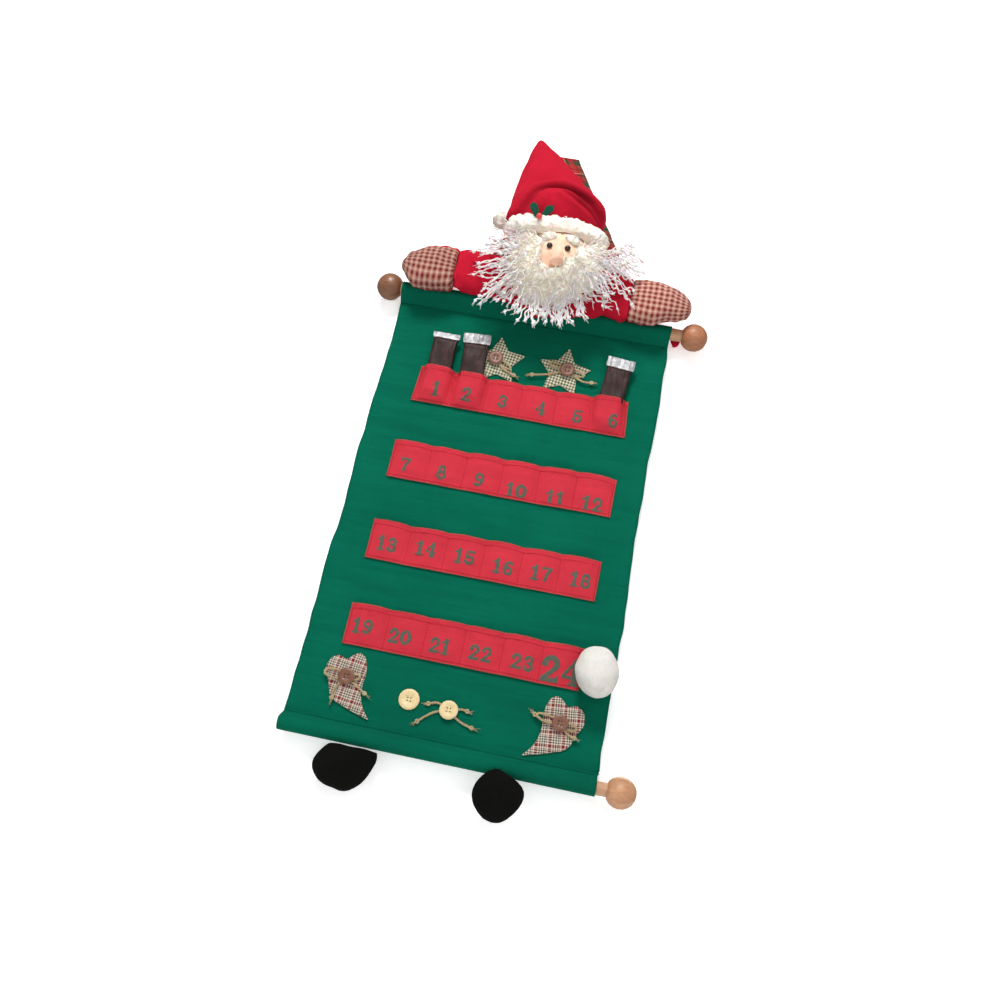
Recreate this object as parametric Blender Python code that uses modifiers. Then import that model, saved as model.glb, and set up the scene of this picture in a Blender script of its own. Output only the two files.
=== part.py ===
"""Hanging advent calendar: a cloth banner with twenty-four pockets on two wooden rods, held up by a stuffed doll.

Units are metres. +Z is up, the front faces -Y, and the origin is the point where the ribbon hangs on its nail.
Heights below are measured from the banner's top edge, and x from its middle, unless a comment says otherwise.
"""
import math

import bmesh
import bpy
from mathutils import Matrix, Vector

# Clearances and mesh fineness
GAP = 0.0003
KEEP_OUT = 0.0005
OVERRUN = 0.02
WELD = 0.00001
ROUND_STEPS = 20
LIMB_SIDES = 12
SMOOTH_ANGLE = math.radians(38)

# Banner cloth
CLOTH = 0.0012
BANNER_HEIGHT = 0.4815
BANNER_TOP_WIDTH = 0.284
BANNER_BOTTOM_WIDTH = 0.291
TOP_SEAM_DROP = 0.028
BOTTOM_SEAM_RISE = 0.0205
SEAM_SLIT = 0.0004
SLEEVE_STEPS = 10

# Rods and their end balls. A ball's clearance is from the banner's edge to the flat round its bore.
ROD_DIAMETER = 0.0127
ROD_SLACK = 0.00045
ROD_CHAMFER = 0.0007
TOP_ROD_DROP = 0.0133
TOP_LEFT_BALL_CLEARANCE = 0.00175
TOP_RIGHT_BALL_CLEARANCE = 0.01155
BOTTOM_BALL_CLEARANCE = 0.00975
BOTTOM_ROD_INSET = 0.00445
BALL_DIAMETER = 0.0286
BALL_LIP = 0.00165
BALL_BORE_DEPTH = 0.012
BALL_ARC_STEPS = 8

# Pocket rows, with margins from the banner's top corners
ROWS = 4
POCKETS = 6
ROW_LEFT_MARGIN = 0.0325
ROW_RIGHT_MARGIN = 0.0275
ROW_HEIGHT = 0.0392
FIRST_ROW_DROP = 0.0954
LAST_ROW_CLEARANCE = 0.00647
STRIP_CLOTH = 0.001
SEAM_WIDTH = 0.003
BOTTOM_SEAM = 0.003
EMPTY_DEPTH = 0.0057
TOP_ROW_LEFT_INSET = 0.0045
TOP_ROW_MOUTH_INSET = 0.0026
TOP_ROW_MOUTH_SAG = 0.0022
FULL_POCKETS = (0, 1, 5)
COLUMN_SHARES = (-1.0, -0.86, -0.5, 0.5, 0.86, 1.0)
COLUMN_DEPTH_SHARES = (0.0, 0.72, 1.0, 1.0, 0.72, 0.0)
LEVEL_SHARES = (0.0, 0.16, 0.45, 1.0)
EMPTY_LEVEL_DEPTH_SHARES = (0.0, 0.62, 0.96, 1.0)
FULL_LEVEL_DEPTH_SHARES = (0.0, 0.62, 0.9, 1.0)

# Treat bars in pockets 1, 2 and 6. An offset share is of half the pocket's width, at its mouth, and a lean is
# to the right. The first bar's top crimp is folded over.
BAR_SIDE_CLEARANCE = 0.00424
BAR_THICKNESS = 0.006
BAR_LENGTH = 0.0605
BAR_TOP_CRIMP_OVERHANG = 0.00245
BAR_LOWER_CRIMP_INSET = 0.0008
BAR_LOWER_CRIMP_HEIGHT = 0.008
BAR_TOP_CRIMP_HEIGHT = 0.0095
BAR_TOP_CRIMP_SHARES = (0.47, 1.0, 1.0)
BAR_CRIMP_THICKNESS = 0.0011
BAR_SHOULDER = 0.004
BAR_SEAT_RISE = 0.0055
BAR_BACK_CLEARANCE = 0.0012
BAR_FRONT_CLEARANCE = 0.0040
BAR_TIP_FORWARD = math.radians(4.0)
BAR_SIDES = 16
BAR_SQUARENESS = 3.4
BAR_OFFSET_SHARES = (0.1, -0.026, -0.04)
BAR_LEAN = (math.radians(0.0), math.radians(-3.5), math.radians(5.0))

# Hanging ribbon: two straight legs under one fold, sewn to the doll's back at each side of the nail
RIBBON_FOLD_WIDTH = 0.028
RIBBON_CLOTH = 0.0008
RIBBON_FOLD_RADIUS = 0.001
RIBBON_RISE = 0.189
RIBBON_FOOT_RISE = 0.014
LEFT_FOOT_OUT = 0.0568
RIGHT_FOOT_OUT = 0.0946
RIBBON_LEG_STEPS = 4
RIBBON_FOLD_STEPS = 6

# The hat and brim stay in front of the ribbon, and the trunk and arms are pressed flat against it
HAT_BACK = 0.0022
TRUNK_PRESS = 0.0012

# Head and face, with lifts and drops from the middle of the head
HEAD_X = 0.0160
HEAD_RISE = 0.0200
HEAD_RADII = (0.036, 0.033, 0.038)
HEAD_BACK = 0.0110
NOSE_DROP = 0.0110
NOSE_RADII = (0.0080, 0.0090, 0.0090)
EYE_RADIUS = 0.0031
EYE_SPACING = 0.0182
EYE_LIFT = 0.0026
BROW_RADII = (0.0078, 0.0042, 0.0046)
BROW_SPACING = 0.0230
BROW_LIFT = 0.0150
BROW_TILT = math.radians(17)

# Hat, its fleece brim and the holly. A hat share row is a height, a lean, a width and a depth.
BRIM_SHIFT = 0.0090
BRIM_LIFT = 0.0390
BRIM_RADIUS_X = 0.0440
BRIM_RADIUS_Y = 0.0275
BRIM_THICKNESS = 0.0190
BRIM_TILT = math.radians(14)
BRIM_STEPS = 26
BRIM_SIDES = 8
HAT_HEIGHT = 0.1455
HAT_HALF_WIDTH = 0.0540
HAT_HALF_DEPTH = 0.0380
HAT_LEAN = 0.0420
HAT_SHIFT = 0.0015
HAT_SHARES = ((0.0, 0.036, 0.84, 0.79), (0.09, 0.03, 0.965, 0.91), (0.185, 0.024, 1.0, 1.0),
              (0.282, 0.054, 0.97, 0.87), (0.357, 0.107, 0.92, 0.66), (0.509, 0.327, 0.745, 0.53),
              (0.687, 0.589, 0.495, 0.38), (0.866, 0.821, 0.25, 0.237), (1.0, 1.0, 0.05, 0.08))
HOLLY_SHIFT = 0.0165
HOLLY_LEAN = math.radians(2)
LEAF_LENGTH = 0.0205
LEAF_WIDTH = 0.0085
LEAF_CLOTH = 0.0012
LEAF_SPREAD = math.radians(63)
LEAF_APART = 0.0012
LEAF_SHARES = ((0.0, 0.0), (0.22, 0.65), (0.45, 0.72), (0.72, 1.0), (1.0, 0.0), (0.72, -1.0), (0.45, -0.72),
               (0.22, -0.65))
BERRY_RADIUS = 0.0032

# Beard and side hair, fans of yarn round the face. A reach share goes with its direction in degrees.
FAN_DROP = 0.0050
FAN_INNER_RADIUS = 0.0200
FAN_FACE_SET_BACK = 0.0050
BEARD_SPREAD = (math.radians(184), math.radians(352))
LEFT_HAIR_SPREAD = (math.radians(140), math.radians(182.5))
RIGHT_HAIR_SPREAD = (math.radians(-6.5), math.radians(32))
FAN_STEPS_PER_TURN = 52
LOCK_DEPTH_SHARE = 0.09
FAN_REACH = 0.0880
FAN_REACH_SHARES = ((140, 0.93), (174, 0.96), (214, 0.88), (250, 0.68), (285, 0.60), (319, 0.68),
                    (345, 0.92), (374, 1.0), (392, 0.95))
FAN_SIDE_DEPTH = 0.0460
FAN_DROP_CLEARANCE = 0.0070
FAN_ROOT_THICKNESS = 0.0150
FAN_TIP_THICKNESS = 0.0055
FAN_LEVEL_SHARES = (0.0, 0.3, 0.62, 0.88, 1.0)
FAN_SWELL_SHARES = (0.75, 1.0, 0.9, 0.75, 0.35)

# Trunk, arms and mittens. A tip's inset is from the middle of the rod's ball. Radii are a depth and a height.
# A trunk share row is a place along half the trunk and shares of its radii, a mitten row a place from cuff to
# tip, a swell, a drop and shares of its radii.
TRUNK_SHIFT = 0.0030
TRUNK_HALF_LENGTH = 0.060
TRUNK_RISE = 0.0190
TRUNK_RADII = (0.0180, 0.0270)
TRUNK_SHARES = ((-0.5, 1.0, 0.93), (0.0, 0.97, 1.0), (0.5, 1.0, 0.93))
SHOULDER_RADII = (0.0170, 0.0205)
LEFT_ELBOW_RADII = (0.0195, 0.0230)
RIGHT_ELBOW_RADII = (0.0190, 0.0225)
LEFT_ELBOW_RISE = 0.0170
RIGHT_ELBOW_RISE = 0.0140
CUFF_DEPTH = 0.0240
LEFT_CUFF_X = -0.0880
RIGHT_CUFF_X = 0.0950
LEFT_CUFF_RISE = 0.0150
RIGHT_CUFF_RISE = 0.0115
LEFT_CUFF_RADII = (0.0150, 0.0185)
RIGHT_CUFF_RADII = (0.0155, 0.0205)
LEFT_TIP_INSET = 0.0096
RIGHT_TIP_INSET = 0.0069
LEFT_MITTEN_DROP = 0.0100
RIGHT_MITTEN_DROP = 0.0045
LEFT_MITTEN_RADII = (0.0165, 0.0200)
RIGHT_MITTEN_RADII = (0.0175, 0.0225)
MITTEN_SWELL = 0.0030
MITTEN_SHARES = ((0.19, 0.67, 0.05, 0.97, 0.99), (0.47, 1.0, 0.3, 1.0, 1.0), (0.75, 0.9, 0.6, 0.84, 0.82),
                 (0.91, 0.7, 0.84, 0.6, 0.59), (1.0, 0.6, 1.0, 0.24, 0.26))

# Boots, placed by shares of half the banner's width. Radii are a width and a depth. A share row is a drop, a
# shift to the side and shares of the radii.
LEFT_BOOT_X_SHARE = -0.526
LEFT_BOOT_LENGTH = 0.0405
LEFT_BOOT_RADII = (0.0290, 0.0155)
LEFT_BOOT_SHARES = ((0.0, 0.1, 0.81, 0.065), (0.13, 0.05, 0.95, 0.52), (0.36, -0.1, 1.0, 0.9),
                    (0.62, -0.17, 0.95, 1.0), (0.84, -0.14, 0.71, 0.81), (1.0, -0.035, 0.26, 0.29))
RIGHT_BOOT_X_SHARE = 0.388
RIGHT_BOOT_LENGTH = 0.0480
RIGHT_BOOT_OVERLAP = 0.0070
RIGHT_BOOT_SEAM_GAP = 0.0008
RIGHT_BOOT_RADII = (0.0250, 0.0140)
RIGHT_BOOT_SHARES = ((0.0, 0.0, 0.08, 0.1), (0.12, 0.12, 0.5, 0.27), (0.27, 0.28, 0.9, 0.61),
                     (0.5, 0.22, 1.0, 1.0), (0.76, 0.18, 0.84, 0.96), (1.0, 0.2, 0.3, 0.32))

# Stars and hearts, placed by shares of half the first row's width and half the banner's. The stars' lower points
# tuck into the first row's mouths. A heart's outline is in shares of its width and height, from its middle.
APPLIQUE = 0.0018
STAR_POINTS = 5
STAR_RADIUS = 0.0280
STAR_INNER_RADIUS = 0.0150
STAR_TUCK = 0.00175
LEFT_STAR_X_SHARE = -0.285
RIGHT_STAR_X_SHARE = 0.335
LEFT_STAR_TURN = math.radians(-4)
RIGHT_STAR_TURN = math.radians(3)
HEART_WIDTH = 0.0400
HEART_HEIGHT = 0.0590
HEART_CLEARANCE = 0.00442
HEART_TOP_SHARE = 0.37
HEART_FOOT_SHARE = 0.62
LEFT_HEART_X_SHARE = -0.677
RIGHT_HEART_X_SHARE = 0.7285
RIGHT_HEART_LOWER = 0.0025
HEART_SHARES = (((-0.06, 0.24), "VECTOR"), ((0.24, HEART_TOP_SHARE), "AUTO"), ((0.43, 0.20), "AUTO"),
                ((0.45, -0.20), "AUTO"), ((0.54, -0.41), "AUTO"), ((0.78, -HEART_FOOT_SHARE), "VECTOR"),
                ((0.14, -0.49), "AUTO"), ((-0.20, -0.38), "AUTO"), ((-0.35, -0.16), "AUTO"),
                ((-0.49, 0.06), "AUTO"), ((-0.31, 0.27), "AUTO"))

# Buttons and twine. A button's x share is of half the banner's width, and its other shares are of the star's radius or the heart's width and height. A bow's are of
# its reach: a loop has the place of its end and half its width, and a tail the places that it passes.
SMALL_BUTTON_DIAMETER = 0.0155
PLAIN_BUTTON_DIAMETER = 0.0195
TIED_BUTTON_DIAMETER = 0.0175
BUTTON_THICKNESS = 0.0026
BUTTON_RIM_WIDTH = 0.0017
BUTTON_DISH_DEPTH = 0.0007
BUTTON_HOLE_DIAMETER = 0.0016
BUTTON_HOLE_SPACING = 0.0029
BUTTON_HOLE_SIDES = 6
BUTTON_STEPS = 16
PLAIN_BUTTON_X_SHARE = -0.244
PLAIN_BUTTON_RISE = 0.0510
TIED_BUTTON_X_SHARE = 0.017
TIED_BUTTON_RISE = 0.0485
LEFT_STAR_BUTTON_SHARES = (-0.107, 0.036)
RIGHT_STAR_BUTTON_SHARES = (0.125, 0.054)
HEART_BUTTON_SHARES = (0.05, -0.032)
TWINE_DIAMETER = 0.0019
TWINE_STEP = 0.00007
TWINE_KNOT_RADIUS = 0.0024
TWINE_END_RADIUS = 0.0021
BOW_REACH = 0.0200
LOOP_ROOT_SHARE = 0.55
LOOP_END_SHARE = 0.9
LOOP_END_WIDTH_SHARE = 0.7
BOW_LOOP_SHARES = {
    "star_left": ((0.85, -0.45, 0.125),),
    "star_right": ((-0.95, 0.25, 0.15), (0.9, -0.15, 0.14)),
    "heart_left": ((-1.05, 0.05, 0.21), (0.625, 0.075, 0.125)),
    "heart_right": ((-1.1, 0.175, 0.16), (0.75, -0.15, 0.15)),
    "tied_button": (),
}
BOW_TAIL_SHARES = {
    "star_left": (((0.5, -0.5), (1.2, -0.8)),),
    "star_right": (((-0.95, -0.4), (-1.85, -0.6)), ((0.8, -0.45), (1.45, -0.45))),
    "heart_left": (((-0.4, -0.6), (-0.45, -1.2)), ((0.65, -0.4), (1.1, -0.65))),
    "heart_right": (((-0.7, -0.05), (-1.3, 0.225)), ((0.4, -0.4), (0.85, -0.55))),
    "tied_button": (((-0.55, 0.225), (-1.1, 0.075)), ((-0.7, -0.25), (-1.4, -0.85)),
                    ((0.55, 0.15), (0.95, 0.1)), ((0.6, -0.4), (1.3, -0.6))),
}

# Stuffed marker ball, held to the cloth by a hook-and-loop dot beside the last pocket
MARKER_OUT = 0.0137
MARKER_RISE = 0.0167
MARKER_RADII = (0.0200, 0.0190, 0.0240)
MARKER_TURN = math.radians(-12)
DOT_DIAMETER = 0.0120
DOT_THICKNESS = 0.0010

# Places worked out from the sizes above
HALF_TOP = BANNER_TOP_WIDTH / 2
HALF_BOTTOM = BANNER_BOTTOM_WIDTH / 2
ROD_RADIUS = ROD_DIAMETER / 2
ROD_Y = -(CLOTH + ROD_SLACK + ROD_RADIUS)
SLEEVE_INNER_RADIUS = ROD_RADIUS + ROD_SLACK
SLEEVE_OUTER_RADIUS = SLEEVE_INNER_RADIUS + CLOTH
SLEEVE_FRONT = ROD_Y - SLEEVE_OUTER_RADIUS
TOP_ROD_Z = -TOP_ROD_DROP
BOTTOM_ROD_Z = -BANNER_HEIGHT + SLEEVE_OUTER_RADIUS
BALL_FLAT_RADIUS = ROD_RADIUS + BALL_LIP
BALL_FACE_DISTANCE = math.sqrt((BALL_DIAMETER / 2) ** 2 - BALL_FLAT_RADIUS ** 2)
TOP_LEFT_BALL_X = -HALF_TOP - TOP_LEFT_BALL_CLEARANCE - BALL_FACE_DISTANCE
TOP_RIGHT_BALL_X = HALF_TOP + TOP_RIGHT_BALL_CLEARANCE + BALL_FACE_DISTANCE
BOTTOM_BALL_X = HALF_BOTTOM + BOTTOM_BALL_CLEARANCE + BALL_FACE_DISTANCE
ROW_LEFT = -HALF_TOP + ROW_LEFT_MARGIN
ROW_RIGHT = HALF_TOP - ROW_RIGHT_MARGIN
FIRST_ROW_MIDDLE = (ROW_LEFT + TOP_ROW_LEFT_INSET + ROW_RIGHT) / 2
FIRST_ROW_HALF = ROW_RIGHT - FIRST_ROW_MIDDLE
PANEL_FRONT = -CLOTH
APPLIQUE_BACK = PANEL_FRONT - GAP
APPLIQUE_FRONT = APPLIQUE_BACK - APPLIQUE
HEART_Z = -BANNER_HEIGHT + BOTTOM_SEAM_RISE + HEART_CLEARANCE + HEART_FOOT_SHARE * HEART_HEIGHT
LAST_ROW_FOOT_Z = HEART_Z + HEART_TOP_SHARE * HEART_HEIGHT + LAST_ROW_CLEARANCE
ROW_PITCH = (-FIRST_ROW_DROP - ROW_HEIGHT - LAST_ROW_FOOT_Z) / (ROWS - 1)
STAR_Z = -FIRST_ROW_DROP - STAR_TUCK + STAR_RADIUS * math.cos(math.pi / STAR_POINTS)
FULL_DEPTH = BAR_BACK_CLEARANCE + BAR_THICKNESS + BAR_FRONT_CLEARANCE
RIBBON_LENGTH = RIBBON_RISE - RIBBON_FOOT_RISE
RIBBON_OVERLAP_SHARE = RIBBON_FOLD_WIDTH / (LEFT_FOOT_OUT + RIGHT_FOOT_OUT)
FOLD_X = (LEFT_FOOT_OUT * RIBBON_OVERLAP_SHARE - RIBBON_FOLD_WIDTH / 2) / (1 - RIBBON_OVERLAP_SHARE)
HANG_HEIGHT = RIBBON_RISE - RIBBON_LENGTH * RIBBON_OVERLAP_SHARE
HEAD_PLACE = Vector((HEAD_X, -HEAD_BACK - HEAD_RADII[1], HEAD_RISE))
FACE_Y = HEAD_PLACE.y - HEAD_RADII[1]
BRIM_PLACE = Vector((HEAD_X - BRIM_SHIFT, -HAT_BACK - BRIM_RADIUS_Y - BRIM_THICKNESS / 2, HEAD_RISE + BRIM_LIFT))
TRUNK_X = HEAD_X - TRUNK_SHIFT

# Colours as linear red, green and blue
GREEN_CLOTH = (0.005, 0.105, 0.062)
RED_CLOTH = (0.62, 0.025, 0.045)
DEEP_RED = (0.50, 0.015, 0.025)
WOOD = (0.42, 0.21, 0.105)
FLEECE = (0.82, 0.76, 0.66)
YARN = (0.86, 0.82, 0.76)
SKIN = (0.80, 0.50, 0.34)
BLACK_FELT = (0.012, 0.011, 0.010)
CHECK_CLOTH = (0.42, 0.40, 0.27)
PLAID_CLOTH = (0.45, 0.22, 0.18)
BROWN_BUTTON = (0.17, 0.075, 0.045)
CREAM_BUTTON = (0.70, 0.60, 0.38)
TWINE = (0.55, 0.40, 0.22)
LEAF_GREEN = (0.012, 0.075, 0.035)
WRAPPER = (0.045, 0.018, 0.014)
WHITE_PLUSH = (0.85, 0.84, 0.82)


def clear_scene():
    for item in list(bpy.data.objects):
        bpy.data.objects.remove(item, do_unlink=True)


def new_collection(name):
    collection = bpy.data.collections.new(name)
    bpy.context.scene.collection.children.link(collection)
    return collection


clear_scene()
PARTS = new_collection("advent_calendar")
CUTTERS = new_collection("cutters")


def add_empty(name, z, parent=None):
    empty = bpy.data.objects.new(name, None)
    empty.location = (0, 0, z)
    empty.parent = parent
    PARTS.objects.link(empty)
    return empty


HANG_POINT = add_empty("hang_point", 0)
BANNER_TOP = add_empty("banner_top_edge", -HANG_HEIGHT, HANG_POINT)


def add_material(name, colour, roughness, metallic=0.0):
    made = bpy.data.materials.new(name)
    made.use_nodes = True
    shader = made.node_tree.nodes["Principled BSDF"]
    shader.inputs["Base Color"].default_value = (*colour, 1)
    shader.inputs["Roughness"].default_value = roughness
    shader.inputs["Metallic"].default_value = metallic
    return made


def add_part(name, data, colour, roughness):
    """Links mesh or curve data as one named piece of the calendar, with its own material."""
    part = bpy.data.objects.new(name, data)
    part.parent = BANNER_TOP
    data.materials.append(add_material(name, colour, roughness))
    PARTS.objects.link(part)
    return part


def as_mesh(part):
    """Turns a curve, or an object with modifiers, into a plain welded mesh object of the same name."""
    bpy.context.view_layer.update()
    graph = bpy.context.evaluated_depsgraph_get()
    mesh = bpy.data.meshes.new_from_object(part.evaluated_get(graph))
    shape = bmesh.new()
    shape.from_mesh(mesh)
    bmesh.ops.remove_doubles(shape, verts=shape.verts, dist=WELD)
    shape.to_mesh(mesh)
    shape.free()
    name = part.name
    made = bpy.data.objects.new(name + "_mesh", mesh)
    made.parent = part.parent
    made.matrix_world = part.matrix_world.copy()
    for collection in part.users_collection:
        collection.objects.link(made)
    bpy.data.objects.remove(part, do_unlink=True)
    made.name = name
    return made


def mesh_from(shape, name):
    """Closes a bmesh into mesh data whose faces point outwards."""
    bmesh.ops.recalc_face_normals(shape, faces=shape.faces)
    mesh = bpy.data.meshes.new(name)
    shape.to_mesh(mesh)
    shape.free()
    return mesh


def smooth(part):
    part.data.shade_smooth()
    part.data.set_sharp_from_angle(angle=SMOOTH_ANGLE)
    return part


def soften(part, levels=1):
    modifier = part.modifiers.new("soft form", "SUBSURF")
    modifier.levels = levels
    modifier.render_levels = levels
    return part


def move_origin(part, point):
    """Puts the object's origin at a point of its parent's frame, and leaves its shape where it is."""
    part.data.transform(Matrix.Translation(-Vector(point)) @ part.matrix_basis)
    part.matrix_basis = Matrix.Translation(Vector(point))
    return part


def make_cutter(name, data):
    cutter = bpy.data.objects.new(name, data)
    cutter.parent = BANNER_TOP
    cutter.hide_render = True
    cutter.display_type = "WIRE"
    CUTTERS.objects.link(cutter)
    return cutter


def keep_out(part, clearance=KEEP_OUT):
    """A cutter of a piece's shape, grown by the clearance that its soft neighbours keep to it."""
    bpy.context.view_layer.update()
    graph = bpy.context.evaluated_depsgraph_get()
    cutter = make_cutter(part.name + "_keep_out", bpy.data.meshes.new_from_object(part.evaluated_get(graph)))
    cutter.matrix_basis = part.matrix_basis.copy()
    grow = cutter.modifiers.new("clearance", "DISPLACE")
    grow.strength = clearance
    grow.mid_level = 0
    return cutter


def combine(part, other, operation):
    modifier = part.modifiers.new(operation.lower() + " " + other.name, "BOOLEAN")
    modifier.operation = operation
    modifier.solver = "EXACT"
    modifier.object = other
    return part


def trim(part, *cutters):
    for cutter in cutters:
        combine(part, cutter, "DIFFERENCE")
    return part


def ellipse_ring(centre, radii, axis, sides, squareness=2.0):
    """Points of a superellipse round centre, square to axis, with one radius for each of the other two axes."""
    across = [direction for direction in range(3) if direction != axis]
    points = []
    for step in range(sides):
        angle = math.tau * step / sides
        point = Vector(centre)
        for direction, part_of_turn in zip(across, (math.cos(angle), math.sin(angle))):
            reach = math.copysign(abs(part_of_turn) ** (2 / squareness), part_of_turn)
            point[direction] += radii[across.index(direction)] * reach
        points.append(point)
    return points


def loft(name, rings):
    """Joins rings of equal count into one closed skin with a flat cap at each end."""
    shape = bmesh.new()
    rows = [[shape.verts.new(point) for point in ring] for ring in rings]
    sides = len(rows[0])
    for lower, upper in zip(rows, rows[1:]):
        for side in range(sides):
            after = (side + 1) % sides
            shape.faces.new((lower[side], lower[after], upper[after], upper[side]))
    shape.faces.new(rows[0])
    shape.faces.new(reversed(rows[-1]))
    return mesh_from(shape, name)


def crease_ends(part, positions, axis):
    """Keeps the sewn ends of a stuffed piece flat under its subdivision."""
    crease = part.data.attributes.new("crease_edge", "FLOAT", "EDGE")
    for edge in part.data.edges:
        ends = [part.data.vertices[index].co[axis] for index in edge.vertices]
        if any(all(abs(end - position) < WELD for end in ends) for position in positions):
            crease.data[edge.index].value = 1.0


def limb(name, stations, axis, colour, roughness, flat_ends=(), sides=LIMB_SIDES):
    """A stuffed piece that swells and tapers along an axis. A station is a centre and its two radii."""
    rings = [ellipse_ring(centre, radii, axis, sides) for centre, radii in stations]
    part = add_part(name, loft(name, rings), colour, roughness)
    crease_ends(part, flat_ends, axis)
    return smooth(soften(part))


def back_seated(x, z, radii):
    """A station along X whose back swells a little past the ribbon, and is pressed flat there later."""
    return (x, TRUNK_PRESS - radii[0], z), radii


def ellipsoid(name, centre, radii, colour, roughness, segments=20, turn=0.0):
    shape = bmesh.new()
    bmesh.ops.create_uvsphere(shape, u_segments=segments, v_segments=segments // 2, radius=1.0)
    bmesh.ops.scale(shape, vec=radii, verts=shape.verts)
    part = add_part(name, mesh_from(shape, name), colour, roughness)
    part.location = centre
    part.rotation_euler = (0, turn, 0)
    return smooth(part)


def turned(name, profile, colour, roughness, steps=ROUND_STEPS):
    """A profile of (radius, height) points turned about its own Z axis."""
    shape = bmesh.new()
    corners = [shape.verts.new((radius, 0, height)) for radius, height in profile]
    for first, second in zip(corners, corners[1:]):
        shape.edges.new((first, second))
    mesh = bpy.data.meshes.new(name)
    shape.to_mesh(mesh)
    shape.free()
    part = add_part(name, mesh, colour, roughness)
    screw = part.modifiers.new("turn", "SCREW")
    screw.steps = steps
    screw.render_steps = steps
    screw.use_merge_vertices = True
    screw.merge_threshold = WELD
    return part


def add_spline(curve, points, cyclic=True):
    spline = curve.splines.new("POLY")
    spline.points.add(len(points) - 1)
    for slot, point in zip(spline.points, points):
        slot.co = (*point, 0, 1) if len(point) == 2 else (*point, 1)
    spline.use_cyclic_u = cyclic
    return spline


def flat_curve(name, half_thickness):
    curve = bpy.data.curves.new(name, "CURVE")
    curve.dimensions = "2D"
    curve.fill_mode = "BOTH"
    curve.extrude = half_thickness
    return curve


def stand_up(part, x, back, z, thickness, turn=0.0):
    """Stands a flat curve in the XZ plane with its back at y = back, turned in that plane."""
    part.rotation_euler = (math.pi / 2, turn, 0)
    part.location = (x, back - thickness / 2, z)
    return part


def smooth_path(points, steps):
    """Catmull-Rom points through a short list of chosen ones."""
    vectors = [Vector(point) for point in points]
    padded = [2 * vectors[0] - vectors[1]] + vectors + [2 * vectors[-1] - vectors[-2]]
    path = []
    for index in range(1, len(padded) - 2):
        before, start, end, after = padded[index - 1:index + 3]
        for step in range(steps):
            share = step / steps
            flow = (2 * start + (end - before) * share
                    + (2 * before - 5 * start + 4 * end - after) * share ** 2
                    + (3 * start - 3 * end + after - before) * share ** 3)
            path.append(flow / 2)
    path.append(vectors[-1])
    return path


def tube(name, points, diameter, colour, roughness, resolution=1):
    curve = bpy.data.curves.new(name, "CURVE")
    curve.dimensions = "3D"
    curve.bevel_depth = diameter / 2
    curve.bevel_resolution = resolution
    curve.use_fill_caps = True
    add_spline(curve, points, cyclic=False)
    return as_mesh(add_part(name, curve, colour, roughness))


# Banner: one cloth, folded over and sewn into a sleeve for each rod

def tangent_angle(centre, radius, point, side):
    """Direction from the centre of a circle to where a straight line from point touches it."""
    away = Vector(point) - Vector(centre)
    return math.atan2(away.y, away.x) + side * math.acos(radius / away.length)


def sleeve_arc(rod_z, radius, upper_point, lower_point):
    """The cloth's path round the front of a rod, from a point above it to one below it, as (y, z)."""
    centre = (ROD_Y, rod_z)
    start = tangent_angle(centre, radius, upper_point, 1)
    end = tangent_angle(centre, radius, lower_point, -1)
    while end < start:
        end += math.tau
    turns = [start + (end - start) * step / SLEEVE_STEPS for step in range(SLEEVE_STEPS + 1)]
    return [(ROD_Y + radius * math.cos(turn), rod_z + radius * math.sin(turn)) for turn in turns]


def banner_outline():
    top_seam = -TOP_SEAM_DROP
    bottom_seam = -BANNER_HEIGHT + BOTTOM_SEAM_RISE
    top = sleeve_arc(TOP_ROD_Z, SLEEVE_OUTER_RADIUS, (-CLOTH, 0), (-2 * CLOTH, top_seam))
    bottom = sleeve_arc(BOTTOM_ROD_Z, SLEEVE_OUTER_RADIUS, (-2 * CLOTH, bottom_seam), (0, -BANNER_HEIGHT))
    outline = [(0, 0), (-CLOTH, 0)] + top + [(-2 * CLOTH, top_seam), (-CLOTH, top_seam)]
    outline += [(-CLOTH, bottom_seam), (-2 * CLOTH, bottom_seam)] + bottom[:-1]
    return outline + [(ROD_Y, -BANNER_HEIGHT), (0, -BANNER_HEIGHT + CLOTH)]


def sleeve_bore(rod_z, upper_z, lower_z):
    """The space in a sleeve: the cloth's inner path, closed along the banner's front face."""
    upper = (-CLOTH - SEAM_SLIT, upper_z)
    lower = (-CLOTH - SEAM_SLIT, lower_z)
    arc = sleeve_arc(rod_z, SLEEVE_INNER_RADIUS, upper, lower)
    return [(-CLOTH, upper_z), upper] + arc + [lower, (-CLOTH, lower_z)]


def hem_bore():
    """The space in the bottom hem, round below because the rod hangs in it."""
    upper_z = -BANNER_HEIGHT + BOTTOM_SEAM_RISE - CLOTH
    upper = (-CLOTH - SEAM_SLIT, upper_z)
    start = tangent_angle((ROD_Y, BOTTOM_ROD_Z), SLEEVE_INNER_RADIUS, upper, 1)
    turns = [start + (math.tau - start) * step / SLEEVE_STEPS for step in range(SLEEVE_STEPS + 1)]
    arc = [(ROD_Y + SLEEVE_INNER_RADIUS * math.cos(turn), BOTTOM_ROD_Z + SLEEVE_INNER_RADIUS * math.sin(turn))
           for turn in turns]
    return [(-CLOTH, upper_z), upper] + arc


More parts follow.
